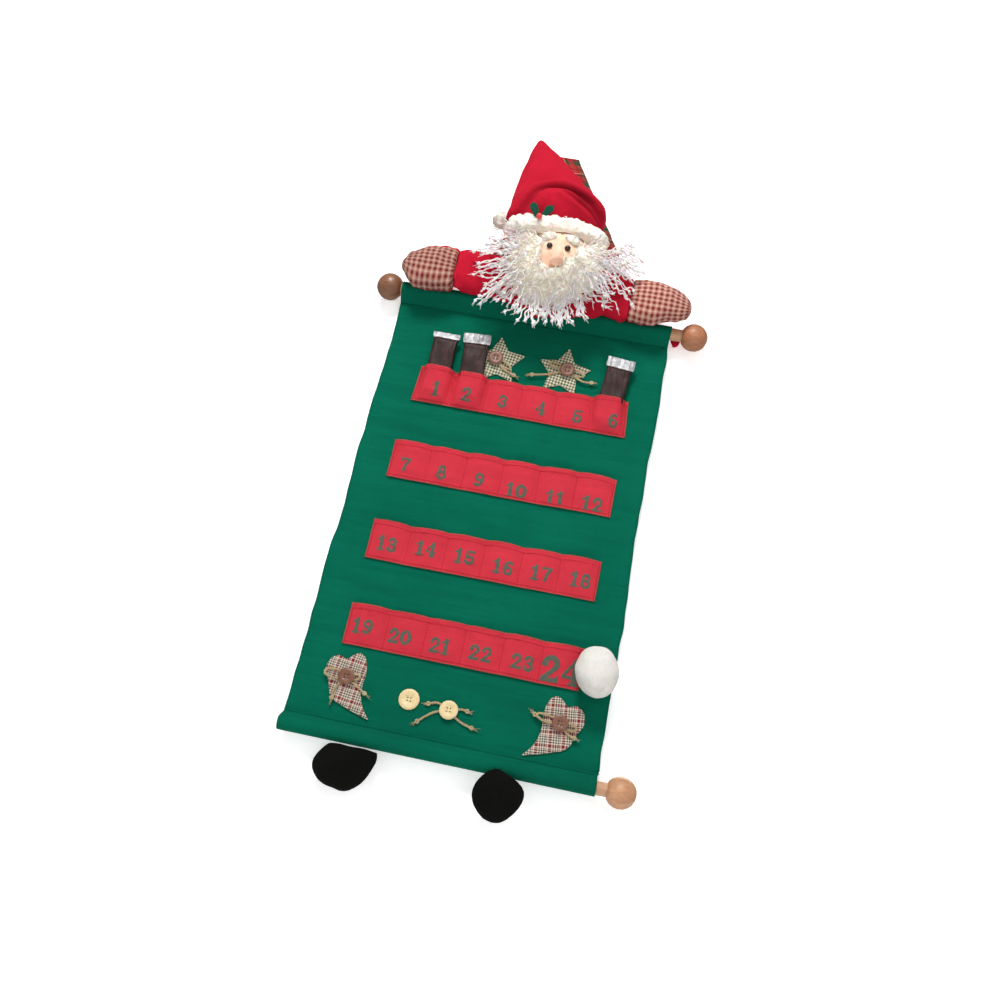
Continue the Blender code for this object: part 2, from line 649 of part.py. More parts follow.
def make_banner():
    curve = flat_curve("banner", BANNER_BOTTOM_WIDTH / 2)
    add_spline(curve, banner_outline())
    add_spline(curve, sleeve_bore(TOP_ROD_Z, -CLOTH, -TOP_SEAM_DROP + CLOTH))
    add_spline(curve, hem_bore())
    banner = add_part("banner", curve, GREEN_CLOTH, 0.9)
    banner.rotation_euler = (math.pi / 2, 0, math.pi / 2)
    banner = move_origin(as_mesh(banner), (0, 0, 0))
    for vertex in banner.data.vertices:
        fall = -vertex.co.z / BANNER_HEIGHT
        width = BANNER_TOP_WIDTH + (BANNER_BOTTOM_WIDTH - BANNER_TOP_WIDTH) * fall
        vertex.co.x *= width / BANNER_BOTTOM_WIDTH
    return smooth(banner)


def banner_keep_out():
    """A solid block of the banner's outline, grown by the clearance, for what lies over its top sleeve."""
    curve = flat_curve("banner_keep_out", BANNER_BOTTOM_WIDTH / 2)
    centre_z = TOP_ROD_Z
    radius = SLEEVE_OUTER_RADIUS + KEEP_OUT
    upper = (-CLOTH - KEEP_OUT, KEEP_OUT)
    lower = (-CLOTH - KEEP_OUT, -TOP_SEAM_DROP - CLOTH)
    arc = sleeve_arc(centre_z, radius, upper, lower)
    foot = -BANNER_HEIGHT / 2
    add_spline(curve, [(OVERRUN, KEEP_OUT), upper] + arc + [lower, (-CLOTH - KEEP_OUT, foot), (OVERRUN, foot)])
    block = make_cutter("banner_keep_out", curve)
    block.rotation_euler = (math.pi / 2, 0, math.pi / 2)
    block = as_mesh(block)
    block.hide_render = True
    block.display_type = "WIRE"
    return block


def ribbon_keep_out():
    """The space behind the ribbon's front face, against which the doll's back is flat."""
    front = -RIBBON_FOLD_RADIUS - RIBBON_CLOTH / 2 - GAP
    shape = bmesh.new()
    bmesh.ops.create_cube(shape, size=1)
    bmesh.ops.scale(shape, vec=(BANNER_BOTTOM_WIDTH, OVERRUN, BANNER_HEIGHT), verts=shape.verts)
    block = make_cutter("ribbon_keep_out", mesh_from(shape, "ribbon_keep_out"))
    block.location = (0, front + OVERRUN / 2, 0)
    return block


# Rods and balls

def make_rod(name, left, right, z):
    shape = bmesh.new()
    bmesh.ops.create_cone(shape, cap_ends=True, segments=ROUND_STEPS, radius1=ROD_RADIUS, radius2=ROD_RADIUS,
                          depth=right - left)
    rod = add_part(name, mesh_from(shape, name), WOOD, 0.55)
    rod.rotation_euler = (0, math.pi / 2, 0)
    rod.location = ((left + right) / 2, ROD_Y, z)
    bevel = rod.modifiers.new("eased ends", "BEVEL")
    bevel.width = ROD_CHAMFER
    bevel.segments = 1
    bevel.limit_method = "ANGLE"
    return smooth(rod)


def make_ball(name, x, z, side):
    """A turned ball whose bore, from the flat inwards, takes the end of the rod."""
    radius = BALL_DIAMETER / 2
    last = math.pi - math.asin(BALL_FLAT_RADIUS / radius)
    turns = [last * step / BALL_ARC_STEPS for step in range(BALL_ARC_STEPS + 1)]
    profile = [(radius * math.sin(turn), radius * math.cos(turn)) for turn in turns]
    bore = ROD_RADIUS + GAP
    bore_end = BALL_BORE_DEPTH - BALL_FACE_DISTANCE
    profile += [(bore, -BALL_FACE_DISTANCE), (bore, bore_end), (0, bore_end)]
    ball = turned(name, profile, WOOD, 0.45)
    ball.rotation_euler = (0, side * math.pi / 2, 0)
    ball.location = (x, ROD_Y, z)
    return smooth(ball)


def make_rods():
    """Returns the two balls that the doll's mittens lie close to."""
    seat = BALL_BORE_DEPTH - GAP - BALL_FACE_DISTANCE
    make_rod("top_rod", TOP_LEFT_BALL_X - seat, TOP_RIGHT_BALL_X + seat, TOP_ROD_Z)
    left_ball = make_ball("top_ball_left", TOP_LEFT_BALL_X, TOP_ROD_Z, -1)
    right_ball = make_ball("top_ball_right", TOP_RIGHT_BALL_X, TOP_ROD_Z, 1)
    make_rod("bottom_rod", -HALF_BOTTOM + BOTTOM_ROD_INSET, BOTTOM_BALL_X + seat, BOTTOM_ROD_Z)
    make_ball("bottom_ball_right", BOTTOM_BALL_X, BOTTOM_ROD_Z, 1)
    return left_ball, right_ball


# Pocket rows: one strip of cloth each, sewn along its sides, its foot and between the pockets

def row_left(row):
    return ROW_LEFT + (TOP_ROW_LEFT_INSET if row == 0 else 0)


def pocket_place(row, pocket):
    """The middle and half the width of one pocket, between its side seams."""
    pitch = (ROW_RIGHT - row_left(row) - SEAM_WIDTH) / POCKETS
    return row_left(row) + SEAM_WIDTH / 2 + pitch * (pocket + 0.5), (pitch - SEAM_WIDTH) / 2


def strip_columns(row, depths):
    """Across one row: the x of each column, and how deep its pocket is there."""
    columns = [(row_left(row), 0.0, depths[0])]
    for pocket in range(POCKETS):
        middle, half = pocket_place(row, pocket)
        for share, depth_share in zip(COLUMN_SHARES, COLUMN_DEPTH_SHARES):
            columns.append((middle + half * share, depth_share, depths[pocket]))
    columns.append((ROW_RIGHT, 0.0, depths[-1]))
    return columns


def make_pocket_row(row):
    full = FULL_POCKETS if row == 0 else ()
    depths = [FULL_DEPTH if pocket in full else EMPTY_DEPTH for pocket in range(POCKETS)]
    inset = TOP_ROW_MOUTH_INSET if row == 0 else 0
    sag = TOP_ROW_MOUTH_SAG if row == 0 else 0
    middle = (row_left(row) + ROW_RIGHT) / 2
    half_width = (ROW_RIGHT - row_left(row)) / 2
    mouth = -FIRST_ROW_DROP - ROW_PITCH * row
    foot = mouth - ROW_HEIGHT
    back = PANEL_FRONT - GAP
    shape = bmesh.new()
    grid = []
    for x, column_share, depth in strip_columns(row, depths):
        level_depths = FULL_LEVEL_DEPTH_SHARES if depth == FULL_DEPTH else EMPTY_LEVEL_DEPTH_SHARES
        column = [shape.verts.new((x, back, foot))]
        offset = (x - middle) / half_width
        for share, level_depth in zip(LEVEL_SHARES, level_depths):
            height = foot + BOTTOM_SEAM + (ROW_HEIGHT - BOTTOM_SEAM) * share
            height -= sag * share * (1 - offset ** 4)
            drawn_in = x - inset * offset * share
            column.append(shape.verts.new((drawn_in, back - depth * column_share * level_depth, height)))
        grid.append(column)
    for left_column, right_column in zip(grid, grid[1:]):
        for level in range(len(left_column) - 1):
            shape.faces.new((left_column[level], right_column[level],
                             right_column[level + 1], left_column[level + 1]))
    name = f"pocket_row_{row + 1}"
    mesh = bpy.data.meshes.new(name)
    shape.to_mesh(mesh)
    shape.free()
    strip = add_part(name, mesh, RED_CLOTH, 0.9)
    cloth = strip.modifiers.new("cloth", "SOLIDIFY")
    cloth.thickness = STRIP_CLOTH
    cloth.offset = 1
    return smooth(strip)


# Treat bars: a wrapped block with a flat crimp at each end

def make_treat_bar(number, pocket, offset_share, lean, crimp_share):
    middle, half_pocket = pocket_place(0, pocket)
    mouth_x = middle + half_pocket * offset_share
    mouth = -FIRST_ROW_DROP
    foot_z = mouth - ROW_HEIGHT + BOTTOM_SEAM + BAR_SEAT_RISE
    half_crimp = BAR_CRIMP_THICKNESS / 2
    half_body = BAR_THICKNESS / 2
    half_width = half_pocket - BAR_SIDE_CLEARANCE
    lower_half_width = half_width - BAR_LOWER_CRIMP_INSET
    top_half_width = half_width + BAR_TOP_CRIMP_OVERHANG
    levels = [
        (0, lower_half_width, half_crimp),
        (BAR_LOWER_CRIMP_HEIGHT, lower_half_width, half_crimp),
        (BAR_LOWER_CRIMP_HEIGHT + BAR_SHOULDER, half_width, half_body),
        (BAR_LENGTH, half_width, half_body),
        (BAR_LENGTH + BAR_SHOULDER, top_half_width, half_crimp),
        (BAR_LENGTH + BAR_SHOULDER + BAR_TOP_CRIMP_HEIGHT * crimp_share, top_half_width, half_crimp),
    ]
    rings = [ellipse_ring((0, 0, height), half_sizes, 2, BAR_SIDES, BAR_SQUARENESS)
             for height, *half_sizes in levels]
    name = f"treat_bar_{number}"
    bar = smooth(add_part(name, loft(name, rings), WRAPPER, 0.35))
    back = PANEL_FRONT - BAR_BACK_CLEARANCE
    bar.rotation_euler = (BAR_TIP_FORWARD, lean, 0)
    bar.location = (mouth_x - (mouth - foot_z) * math.tan(lean), back - half_body, foot_z)
    return bar


# Hanging ribbon

def make_ribbon():
    """Two legs overlap under a flat fold, and the nail sits in the crotch below the overlap.

    The left leg starts at the back of the fold and comes forward to the doll's flat back, where both are sewn.
    """
    half = RIBBON_FOLD_WIDTH / 2
    fold_centre_z = RIBBON_RISE - RIBBON_FOLD_RADIUS
    shares = [step / RIBBON_LEG_STEPS for step in range(RIBBON_LEG_STEPS + 1)]
    route = [(FOLD_X - (FOLD_X + LEFT_FOOT_OUT) * share, RIBBON_FOLD_RADIUS * (1 - 2 * share),
              fold_centre_z - RIBBON_LENGTH * share) for share in reversed(shares)]
    for step in range(1, RIBBON_FOLD_STEPS):
        turn = math.pi * step / RIBBON_FOLD_STEPS
        route.append((FOLD_X, RIBBON_FOLD_RADIUS * math.cos(turn),
                      fold_centre_z + RIBBON_FOLD_RADIUS * math.sin(turn)))
    route += [(FOLD_X + (RIGHT_FOOT_OUT - FOLD_X) * share, -RIBBON_FOLD_RADIUS,
               fold_centre_z - RIBBON_LENGTH * share) for share in shares]
    shape = bmesh.new()
    rows = [(shape.verts.new((x - half, y, z)), shape.verts.new((x + half, y, z))) for x, y, z in route]
    for lower, upper in zip(rows, rows[1:]):
        shape.faces.new((lower[0], lower[1], upper[1], upper[0]))
    mesh = bpy.data.meshes.new("hanging_ribbon")
    shape.to_mesh(mesh)
    shape.free()
    ribbon = add_part("hanging_ribbon", mesh, DEEP_RED, 0.7)
    cloth = ribbon.modifiers.new("cloth", "SOLIDIFY")
    cloth.thickness = RIBBON_CLOTH
    cloth.offset = 0
    return smooth(ribbon)


# Doll: trunk, arms and mittens along the top of the banner

def make_trunk():
    ends = (TRUNK_X - TRUNK_HALF_LENGTH, TRUNK_X + TRUNK_HALF_LENGTH)
    stations = [back_seated(ends[0], TRUNK_RISE, SHOULDER_RADII)]
    for along, depth_share, height_share in TRUNK_SHARES:
        radii = (TRUNK_RADII[0] * depth_share, TRUNK_RADII[1] * height_share)
        stations.append(back_seated(TRUNK_X + TRUNK_HALF_LENGTH * along, TRUNK_RISE, radii))
    stations.append(back_seated(ends[1], TRUNK_RISE, SHOULDER_RADII))
    return limb("doll_trunk", stations, 0, DEEP_RED, 0.9, ends)


def make_arm(label, side, cuff_x, cuff_rise, cuff_radii, elbow_rise, elbow_radii):
    """A sleeve from the trunk's sewn end to the cuff."""
    shoulder_x = TRUNK_X + side * (TRUNK_HALF_LENGTH + GAP)
    stations = [
        back_seated(shoulder_x, TRUNK_RISE, SHOULDER_RADII),
        back_seated((shoulder_x + cuff_x) / 2, elbow_rise, elbow_radii),
        ((cuff_x, -CUFF_DEPTH, cuff_rise), cuff_radii),
    ]
    return limb(f"doll_arm_{label}", stations[::side], 0, DEEP_RED, 0.9, (shoulder_x, cuff_x))


def make_mitten(label, side, cuff_x, cuff_rise, cuff_radii, tip_x, drop, radii):
    """A mitten from the cuff to its tip, which lies lower on the rod."""
    start = cuff_x + side * GAP
    length = tip_x - start
    stations = [((start, -CUFF_DEPTH, cuff_rise), cuff_radii)]
    for along, swell_share, drop_share, depth_share, height_share in MITTEN_SHARES:
        centre = (start + length * along, -CUFF_DEPTH - MITTEN_SWELL * swell_share,
                  cuff_rise - drop * drop_share)
        stations.append((centre, (radii[0] * depth_share, radii[1] * height_share)))
    return limb(f"doll_mitten_{label}", stations[::side], 0, PLAID_CLOTH, 0.9, (start,))


def make_arms():
    left_cuff = (LEFT_CUFF_X, LEFT_CUFF_RISE, LEFT_CUFF_RADII)
    right_cuff = (RIGHT_CUFF_X, RIGHT_CUFF_RISE, RIGHT_CUFF_RADII)
    arms = [
        make_arm("left", -1, *left_cuff, LEFT_ELBOW_RISE, LEFT_ELBOW_RADII),
        make_arm("right", 1, *right_cuff, RIGHT_ELBOW_RISE, RIGHT_ELBOW_RADII),
    ]
    mittens = [
        make_mitten("left", -1, *left_cuff, TOP_LEFT_BALL_X + LEFT_TIP_INSET, LEFT_MITTEN_DROP, LEFT_MITTEN_RADII),
        make_mitten("right", 1, *right_cuff, TOP_RIGHT_BALL_X - RIGHT_TIP_INSET, RIGHT_MITTEN_DROP,
                    RIGHT_MITTEN_RADII),
    ]
    return arms, mittens


# Doll: head, face, hat and yarn

def head_front(x, z):
    """The y of the head's front at a place of the face."""
    across = (x - HEAD_PLACE.x) / HEAD_RADII[0]
    up = (z - HEAD_PLACE.z) / HEAD_RADII[2]
    return HEAD_PLACE.y - HEAD_RADII[1] * math.sqrt(max(0.0, 1 - across ** 2 - up ** 2))


def make_head():
    return ellipsoid("doll_head", HEAD_PLACE, HEAD_RADII, SKIN, 0.8, 24)


def make_face(head_keep_out, brim_keep_out):
    nose_z = HEAD_PLACE.z - NOSE_DROP
    nose = ellipsoid("doll_nose", (HEAD_PLACE.x + GAP, head_front(HEAD_PLACE.x, nose_z) - NOSE_RADII[1] / 3, nose_z),
                     NOSE_RADII, SKIN, 0.8, 14)
    trim(nose, head_keep_out)
    eye_z = HEAD_PLACE.z + EYE_LIFT
    brow_z = HEAD_PLACE.z + BROW_LIFT
    for side, label in ((-1, "left"), (1, "right")):
        x = HEAD_PLACE.x + side * EYE_SPACING / 2
        eye = ellipsoid(f"doll_eye_{label}", (x, head_front(x, eye_z) - EYE_RADIUS / 3, eye_z),
                        (EYE_RADIUS, EYE_RADIUS, EYE_RADIUS), BLACK_FELT, 0.1, 12)
        trim(eye, head_keep_out)
        brow_x = HEAD_PLACE.x + side * BROW_SPACING / 2
        brow = ellipsoid(f"doll_brow_{label}", (brow_x, head_front(brow_x, brow_z), brow_z),
                         BROW_RADII, FLEECE, 0.9, 14, side * BROW_TILT)
        trim(brow, head_keep_out, brim_keep_out)
    return nose


def make_brim():
    """A thick roll of fleece all round the hat's mouth, tipped down at the front."""
    shape = bmesh.new()
    ring_count = BRIM_STEPS
    rows = []
    for step in range(ring_count):
        around = math.tau * step / ring_count
        out = Vector((math.cos(around), math.sin(around), 0))
        centre = Vector((BRIM_RADIUS_X * out.x, BRIM_RADIUS_Y * out.y, 0))
        ring = []
        for side in range(BRIM_SIDES):
            turn = math.tau * side / BRIM_SIDES
            radius = BRIM_THICKNESS / 2
            ring.append(shape.verts.new(centre + radius * (math.cos(turn) * out + math.sin(turn) * Vector((0, 0, 1)))))
        rows.append(ring)
    for step in range(ring_count):
        ring, following = rows[step], rows[(step + 1) % ring_count]
        for side in range(BRIM_SIDES):
            after = (side + 1) % BRIM_SIDES
            shape.faces.new((ring[side], following[side], following[after], ring[after]))
    brim = add_part("hat_brim", mesh_from(shape, "hat_brim"), FLEECE, 0.95)
    brim.location = BRIM_PLACE
    brim.rotation_euler = (BRIM_TILT, 0, 0)
    return smooth(brim)


def make_hat():
    """A tall cone that slumps over its brim and leans to the left at the tip. Its back is one straight line."""
    stations = []
    for height_share, lean_share, width_share, depth_share in HAT_SHARES:
        half_depth = HAT_HALF_DEPTH * depth_share
        centre = (BRIM_PLACE.x - HAT_SHIFT - HAT_LEAN * lean_share, -HAT_BACK - GAP - half_depth,
                  BRIM_PLACE.z + HAT_HEIGHT * height_share)
        stations.append((centre, (HAT_HALF_WIDTH * width_share, half_depth)))
    return limb("hat", stations, 2, DEEP_RED, 0.9)


def make_holly():
    """Two felt leaves that stand up from the brim in front of the hat, and a berry at their foot."""
    forward = -BRIM_RADIUS_Y * math.sqrt(1 - (HOLLY_SHIFT / BRIM_RADIUS_X) ** 2)
    roll = BRIM_PLACE + Vector((-HOLLY_SHIFT, forward * math.cos(BRIM_TILT), forward * math.sin(BRIM_TILT)))
    facing = Vector((0, -math.cos(HOLLY_LEAN), math.sin(HOLLY_LEAN)))
    seat = BRIM_THICKNESS / 2 + GAP
    for side, label in ((-1, "left"), (1, "right")):
        curve = flat_curve(f"holly_leaf_{label}", LEAF_CLOTH / 2)
        add_spline(curve, [(LEAF_LENGTH * along, LEAF_WIDTH / 2 * across) for along, across in LEAF_SHARES])
        leaf = add_part(f"holly_leaf_{label}", curve, LEAF_GREEN, 0.9)
        turn = -LEAF_SPREAD if side > 0 else LEAF_SPREAD - math.pi
        place = roll + facing * (seat + LEAF_CLOTH / 2)
        place.x += side * LEAF_APART
        leaf.matrix_basis = (Matrix.Translation(place) @ Matrix.Rotation(-HOLLY_LEAN, 4, "X")
                             @ Matrix.Rotation(turn, 4, "Y") @ Matrix.Rotation(math.pi / 2, 4, "X"))
    berry_place = roll + facing * (seat + LEAF_CLOTH + GAP + BERRY_RADIUS)
    return ellipsoid("holly_berry", berry_place, (BERRY_RADIUS, BERRY_RADIUS, BERRY_RADIUS), RED_CLOTH, 0.5, 12)


def fan_reach(angle, step):
    """How far the yarn reaches from the middle of the face: less far down than sideways, in short and long locks."""
    degrees = math.degrees(angle)
    if degrees < FAN_REACH_SHARES[0][0] - 1:
        degrees += 360
    share = FAN_REACH_SHARES[-1][1]
    for (start, start_share), (end, end_share) in zip(FAN_REACH_SHARES, FAN_REACH_SHARES[1:]):
        if start <= degrees <= end:
            share = start_share + (end_share - start_share) * (degrees - start) / (end - start)
    return FAN_REACH * share * (1 - LOCK_DEPTH_SHARE * (step % 2))


def fan_tip_y(angle):
    """The depth of the yarn's tips: over the arms at the sides, and close before the banner below."""
    down = max(0.0, -math.sin(angle)) ** 1.5
    side_y = -FAN_SIDE_DEPTH
    return side_y + (SLEEVE_FRONT - FAN_DROP_CLEARANCE - side_y) * down


def make_fan(name, spread):
    """A pad of yarn round part of the face: thick at the cheeks, thin at the tips, closed all round."""
    start, end = spread
    steps = max(3, round(FAN_STEPS_PER_TURN * (end - start) / math.tau))
    face_y = FACE_Y + FAN_FACE_SET_BACK
    centre = Vector((HEAD_PLACE.x, 0, HEAD_PLACE.z - FAN_DROP))
    rows = []
    for step in range(steps + 1):
        angle = start + (end - start) * step / steps
        direction = Vector((math.cos(angle), 0, math.sin(angle)))
        front, back = [], []
        for share, swell in zip(FAN_LEVEL_SHARES, FAN_SWELL_SHARES):
            radius = FAN_INNER_RADIUS + (fan_reach(angle, step) - FAN_INNER_RADIUS) * share
            middle = face_y + (fan_tip_y(angle) - face_y) * share ** 0.8
            thickness = FAN_ROOT_THICKNESS + (FAN_TIP_THICKNESS - FAN_ROOT_THICKNESS) * share
            point = centre + radius * direction
            front.append(point + Vector((0, middle - swell * thickness / 2, 0)))
            back.append(point + Vector((0, middle + swell * thickness / 2, 0)))
        rows.append(front + back[::-1])
    shape = bmesh.new()
    rings = [[shape.verts.new(point) for point in row] for row in rows]
    count = len(rings[0])
    for ring, following in zip(rings, rings[1:]):
        for index in range(count):
            after = (index + 1) % count
            shape.faces.new((ring[index], following[index], following[after], ring[after]))
    for ring in (rings[0], rings[-1]):
        for index in range(len(FAN_LEVEL_SHARES) - 1):
            shape.faces.new((ring[index], ring[index + 1], ring[count - 2 - index], ring[count - 1 - index]))
    return smooth(add_part(name, mesh_from(shape, name), YARN, 0.95))


def make_doll(banner_block, balls):
    trunk = make_trunk()
    arms, mittens = make_arms()
    head = make_head()
    brim = make_brim()
    hat = make_hat()
    beard = make_fan("doll_beard", BEARD_SPREAD)
    left_hair = make_fan("doll_hair_left", LEFT_HAIR_SPREAD)
    right_hair = make_fan("doll_hair_right", RIGHT_HAIR_SPREAD)
    limbs = [keep_out(piece) for piece in (trunk, *arms, *mittens)]
    head_cutter = keep_out(head)
    brim_cutter = keep_out(brim)
    hat_cutter = keep_out(hat)
    ribbon_block = ribbon_keep_out()
    for piece in (trunk, *arms):
        trim(piece, banner_block, ribbon_block)
    for mitten, ball in zip(mittens, balls):
        trim(mitten, banner_block, keep_out(ball))
    trim(head, limbs[0])
    trim(brim, head_cutter, limbs[0])
    trim(hat, head_cutter, brim_cutter)
    nose = make_face(head_cutter, brim_cutter)
    nose_cutter = keep_out(nose)
    trim(beard, head_cutter, nose_cutter, banner_block, *limbs)
    for hair in (left_hair, right_hair):
        trim(hair, head_cutter, brim_cutter, hat_cutter, *limbs)
    make_holly()


# Boots, sewn to the hem by their tips so that they swing

def make_boot(name, top, length, radii, station_shares, flat_ends=()):
    """A boot that hangs from its top, which is the origin of the piece."""
    stations = [(top + Vector((radii[0] * shift, 0, -length * drop)), (radii[0] * width, radii[1] * depth))
                for drop, shift, width, depth in station_shares]
    return move_origin(limb(name, stations, 2, BLACK_FELT, 0.95, flat_ends), top)


def make_boots():
    """The left boot is sewn under the hem by a wide flat edge, the right one in front of it by a point."""
    left_top = Vector((LEFT_BOOT_X_SHARE * HALF_BOTTOM, ROD_Y, -BANNER_HEIGHT - 2 * GAP))
    make_boot("boot_left", left_top, LEFT_BOOT_LENGTH, LEFT_BOOT_RADII, LEFT_BOOT_SHARES, (left_top.z,))
    tip_radius = RIGHT_BOOT_RADII[1] * RIGHT_BOOT_SHARES[0][3]
    right_top = Vector((RIGHT_BOOT_X_SHARE * HALF_BOTTOM, SLEEVE_FRONT - RIGHT_BOOT_SEAM_GAP - tip_radius,
                        -BANNER_HEIGHT + RIGHT_BOOT_OVERLAP))
    make_boot("boot_right", right_top, RIGHT_BOOT_LENGTH, RIGHT_BOOT_RADII, RIGHT_BOOT_SHARES)


# Stars and hearts

def make_star(name, x, turn):
    corners = []
    for point in range(STAR_POINTS):
        outer = math.pi / 2 + math.tau * point / STAR_POINTS
        inner = outer + math.pi / STAR_POINTS
        corners.append((STAR_RADIUS * math.cos(outer), STAR_RADIUS * math.sin(outer)))
        corners.append((STAR_INNER_RADIUS * math.cos(inner), STAR_INNER_RADIUS * math.sin(inner)))
    curve = flat_curve(name, APPLIQUE / 2)
    add_spline(curve, corners)
    star = add_part(name, curve, CHECK_CLOTH, 0.9)
    return stand_up(star, x, APPLIQUE_BACK, STAR_Z, APPLIQUE, turn)


def make_heart(name, x, z, mirrored):
    """A folk heart whose foot sweeps out to a long point."""
    curve = flat_curve(name, APPLIQUE / 2)
    curve.resolution_u = 3
    spline = curve.splines.new("BEZIER")
    spline.bezier_points.add(len(HEART_SHARES) - 1)
    side = -1 if mirrored else 1
    for slot, ((across, up), handle) in zip(spline.bezier_points, HEART_SHARES):
        slot.co = (side * across * HEART_WIDTH, up * HEART_HEIGHT, 0)
        slot.handle_left_type = handle
        slot.handle_right_type = handle
    spline.use_cyclic_u = True
    heart = add_part(name, curve, PLAID_CLOTH, 0.9)
    return stand_up(heart, x, APPLIQUE_BACK, z, APPLIQUE)


# Buttons and twine

def make_button(name, x, z, back, diameter, colour):
    radius = diameter / 2
    rim = BUTTON_RIM_WIDTH
    edge = BUTTON_THICKNESS / 2
    profile = [(0, BUTTON_THICKNESS - BUTTON_DISH_DEPTH),
               (radius - 2 * rim, BUTTON_THICKNESS - BUTTON_DISH_DEPTH),
               (radius - rim, BUTTON_THICKNESS),
               (radius, edge),
               (radius - rim, 0),
               (0, 0)]
    button = turned(name, profile, colour, 0.4, BUTTON_STEPS)
    button.rotation_euler = (math.pi / 2, 0, 0)
    button.location = (x, back, z)
    shape = bmesh.new()
    for across in (-1, 1):
        for up in (-1, 1):
            spot = Vector((across, up, 0)) * BUTTON_HOLE_SPACING / 2
            bmesh.ops.create_cone(shape, cap_ends=True, segments=BUTTON_HOLE_SIDES,
                                  radius1=BUTTON_HOLE_DIAMETER / 2, radius2=BUTTON_HOLE_DIAMETER / 2,
                                  depth=4 * BUTTON_THICKNESS, matrix=Matrix.Translation(spot))
    holes = make_cutter(name + "_holes", mesh_from(shape, name + "_holes"))
    holes.matrix_basis = button.matrix_basis.copy()
    return smooth(trim(button, holes))


def make_twine(name, x, z, back, loop_shares, tail_shares):
    """A bow: a flat knot under the button, its loops, and its tails with knotted ends, as one piece."""
    middle = Vector((x, back - TWINE_DIAMETER / 2 - GAP, z))
    bow = ellipsoid(name, middle, (TWINE_KNOT_RADIUS, TWINE_DIAMETER / 2, TWINE_KNOT_RADIUS), TWINE, 0.95, 10)
    strands = []
    for across, up, width_share in loop_shares:
        reach = BOW_REACH * Vector((across, 0, up))
        side = Vector((-up, 0, across)).normalized()
        root = TWINE_DIAMETER * LOOP_ROOT_SHARE * side
        belly = BOW_REACH * width_share * side
        end, end_belly = middle + reach * LOOP_END_SHARE, belly * LOOP_END_WIDTH_SHARE
        points = [middle + root, middle + reach / 2 + belly, end + end_belly, middle + reach,
                  end - end_belly, middle + reach / 2 - belly, middle - root]
        strands.append(smooth_path(points, 2))
    ends = []
    for bends in tail_shares:
        points = [middle] + [middle + BOW_REACH * Vector((across, 0, up)) for across, up in bends]
        strands.append(smooth_path(points, 2))
        ends.append(points[-1])
    pieces = []
    for index, path in enumerate(strands):
        diameter = TWINE_DIAMETER - TWINE_STEP * (index + 1)
        pieces.append(tube(f"{name}_strand_{index}", path, diameter, TWINE, 0.95))
    for index, end in enumerate(ends):
        pieces.append(ellipsoid(f"{name}_end_{index}", end,
                                (TWINE_END_RADIUS, TWINE_DIAMETER / 2, TWINE_END_RADIUS), TWINE, 0.95, 8))
    for piece in pieces:
        combine(bow, piece, "UNION")
        bow = as_mesh(bow)
        bpy.data.objects.remove(piece, do_unlink=True)
    return smooth(bow)


def tie_on(label, button_name, x, z, front, diameter, colour):
    """A twine bow on a front face, with the button that holds it on top."""
    make_twine(f"{label}_twine", x, z, front, BOW_LOOP_SHARES[label], BOW_TAIL_SHARES[label])
    make_button(button_name, x, z, front - TWINE_DIAMETER - 2 * GAP, diameter, colour)


def make_decorations():
    left_star_x = FIRST_ROW_MIDDLE + LEFT_STAR_X_SHARE * FIRST_ROW_HALF
    right_star_x = FIRST_ROW_MIDDLE + RIGHT_STAR_X_SHARE * FIRST_ROW_HALF
    make_star("star_left", left_star_x, LEFT_STAR_TURN)
    make_star("star_right", right_star_x, RIGHT_STAR_TURN)
    left_heart_x = LEFT_HEART_X_SHARE * HALF_BOTTOM
    right_heart_x = RIGHT_HEART_X_SHARE * HALF_BOTTOM
    right_heart_z = HEART_Z - RIGHT_HEART_LOWER
    make_heart("heart_left", left_heart_x, HEART_Z, False)
    make_heart("heart_right", right_heart_x, right_heart_z, True)
    star, heart = (STAR_RADIUS, STAR_RADIUS), (HEART_WIDTH, HEART_HEIGHT)
    places = (("star_left", left_star_x, STAR_Z, 1, star, LEFT_STAR_BUTTON_SHARES),
              ("star_right", right_star_x, STAR_Z, 1, star, RIGHT_STAR_BUTTON_SHARES),
              ("heart_left", left_heart_x, HEART_Z, 1, heart, HEART_BUTTON_SHARES),
              ("heart_right", right_heart_x, right_heart_z, -1, heart, HEART_BUTTON_SHARES))
    for label, x, z, side, sizes, (across, up) in places:
        tie_on(label, f"{label}_button", x + side * across * sizes[0], z + up * sizes[1], APPLIQUE_FRONT,
               SMALL_BUTTON_DIAMETER, BROWN_BUTTON)
    make_button("plain_button", PLAIN_BUTTON_X_SHARE * HALF_BOTTOM, PLAIN_BUTTON_RISE - BANNER_HEIGHT,
                PANEL_FRONT - GAP, PLAIN_BUTTON_DIAMETER, CREAM_BUTTON)
    tie_on("tied_button", "tied_button", TIED_BUTTON_X_SHARE * HALF_BOTTOM, TIED_BUTTON_RISE - BANNER_HEIGHT,
           PANEL_FRONT, TIED_BUTTON_DIAMETER, CREAM_BUTTON)


def make_marker():
    x = ROW_RIGHT + MARKER_OUT
    z = LAST_ROW_FOOT_Z + MARKER_RISE
    dot = turned("marker_dot", [(0, DOT_THICKNESS), (DOT_DIAMETER / 2, DOT_THICKNESS), (DOT_DIAMETER / 2, 0), (0, 0)],
                 WHITE_PLUSH, 0.9, BUTTON_STEPS)
    dot.rotation_euler = (math.pi / 2, 0, 0)
    dot.location = (x, PANEL_FRONT - GAP, z)
    smooth(dot)
    ball = ellipsoid("marker_ball", (x, PANEL_FRONT - 2 * GAP - MARKER_RADII[1], z), MARKER_RADII, WHITE_PLUSH, 0.95,
                     24, MARKER_TURN)
    trim(ball, keep_out(dot))


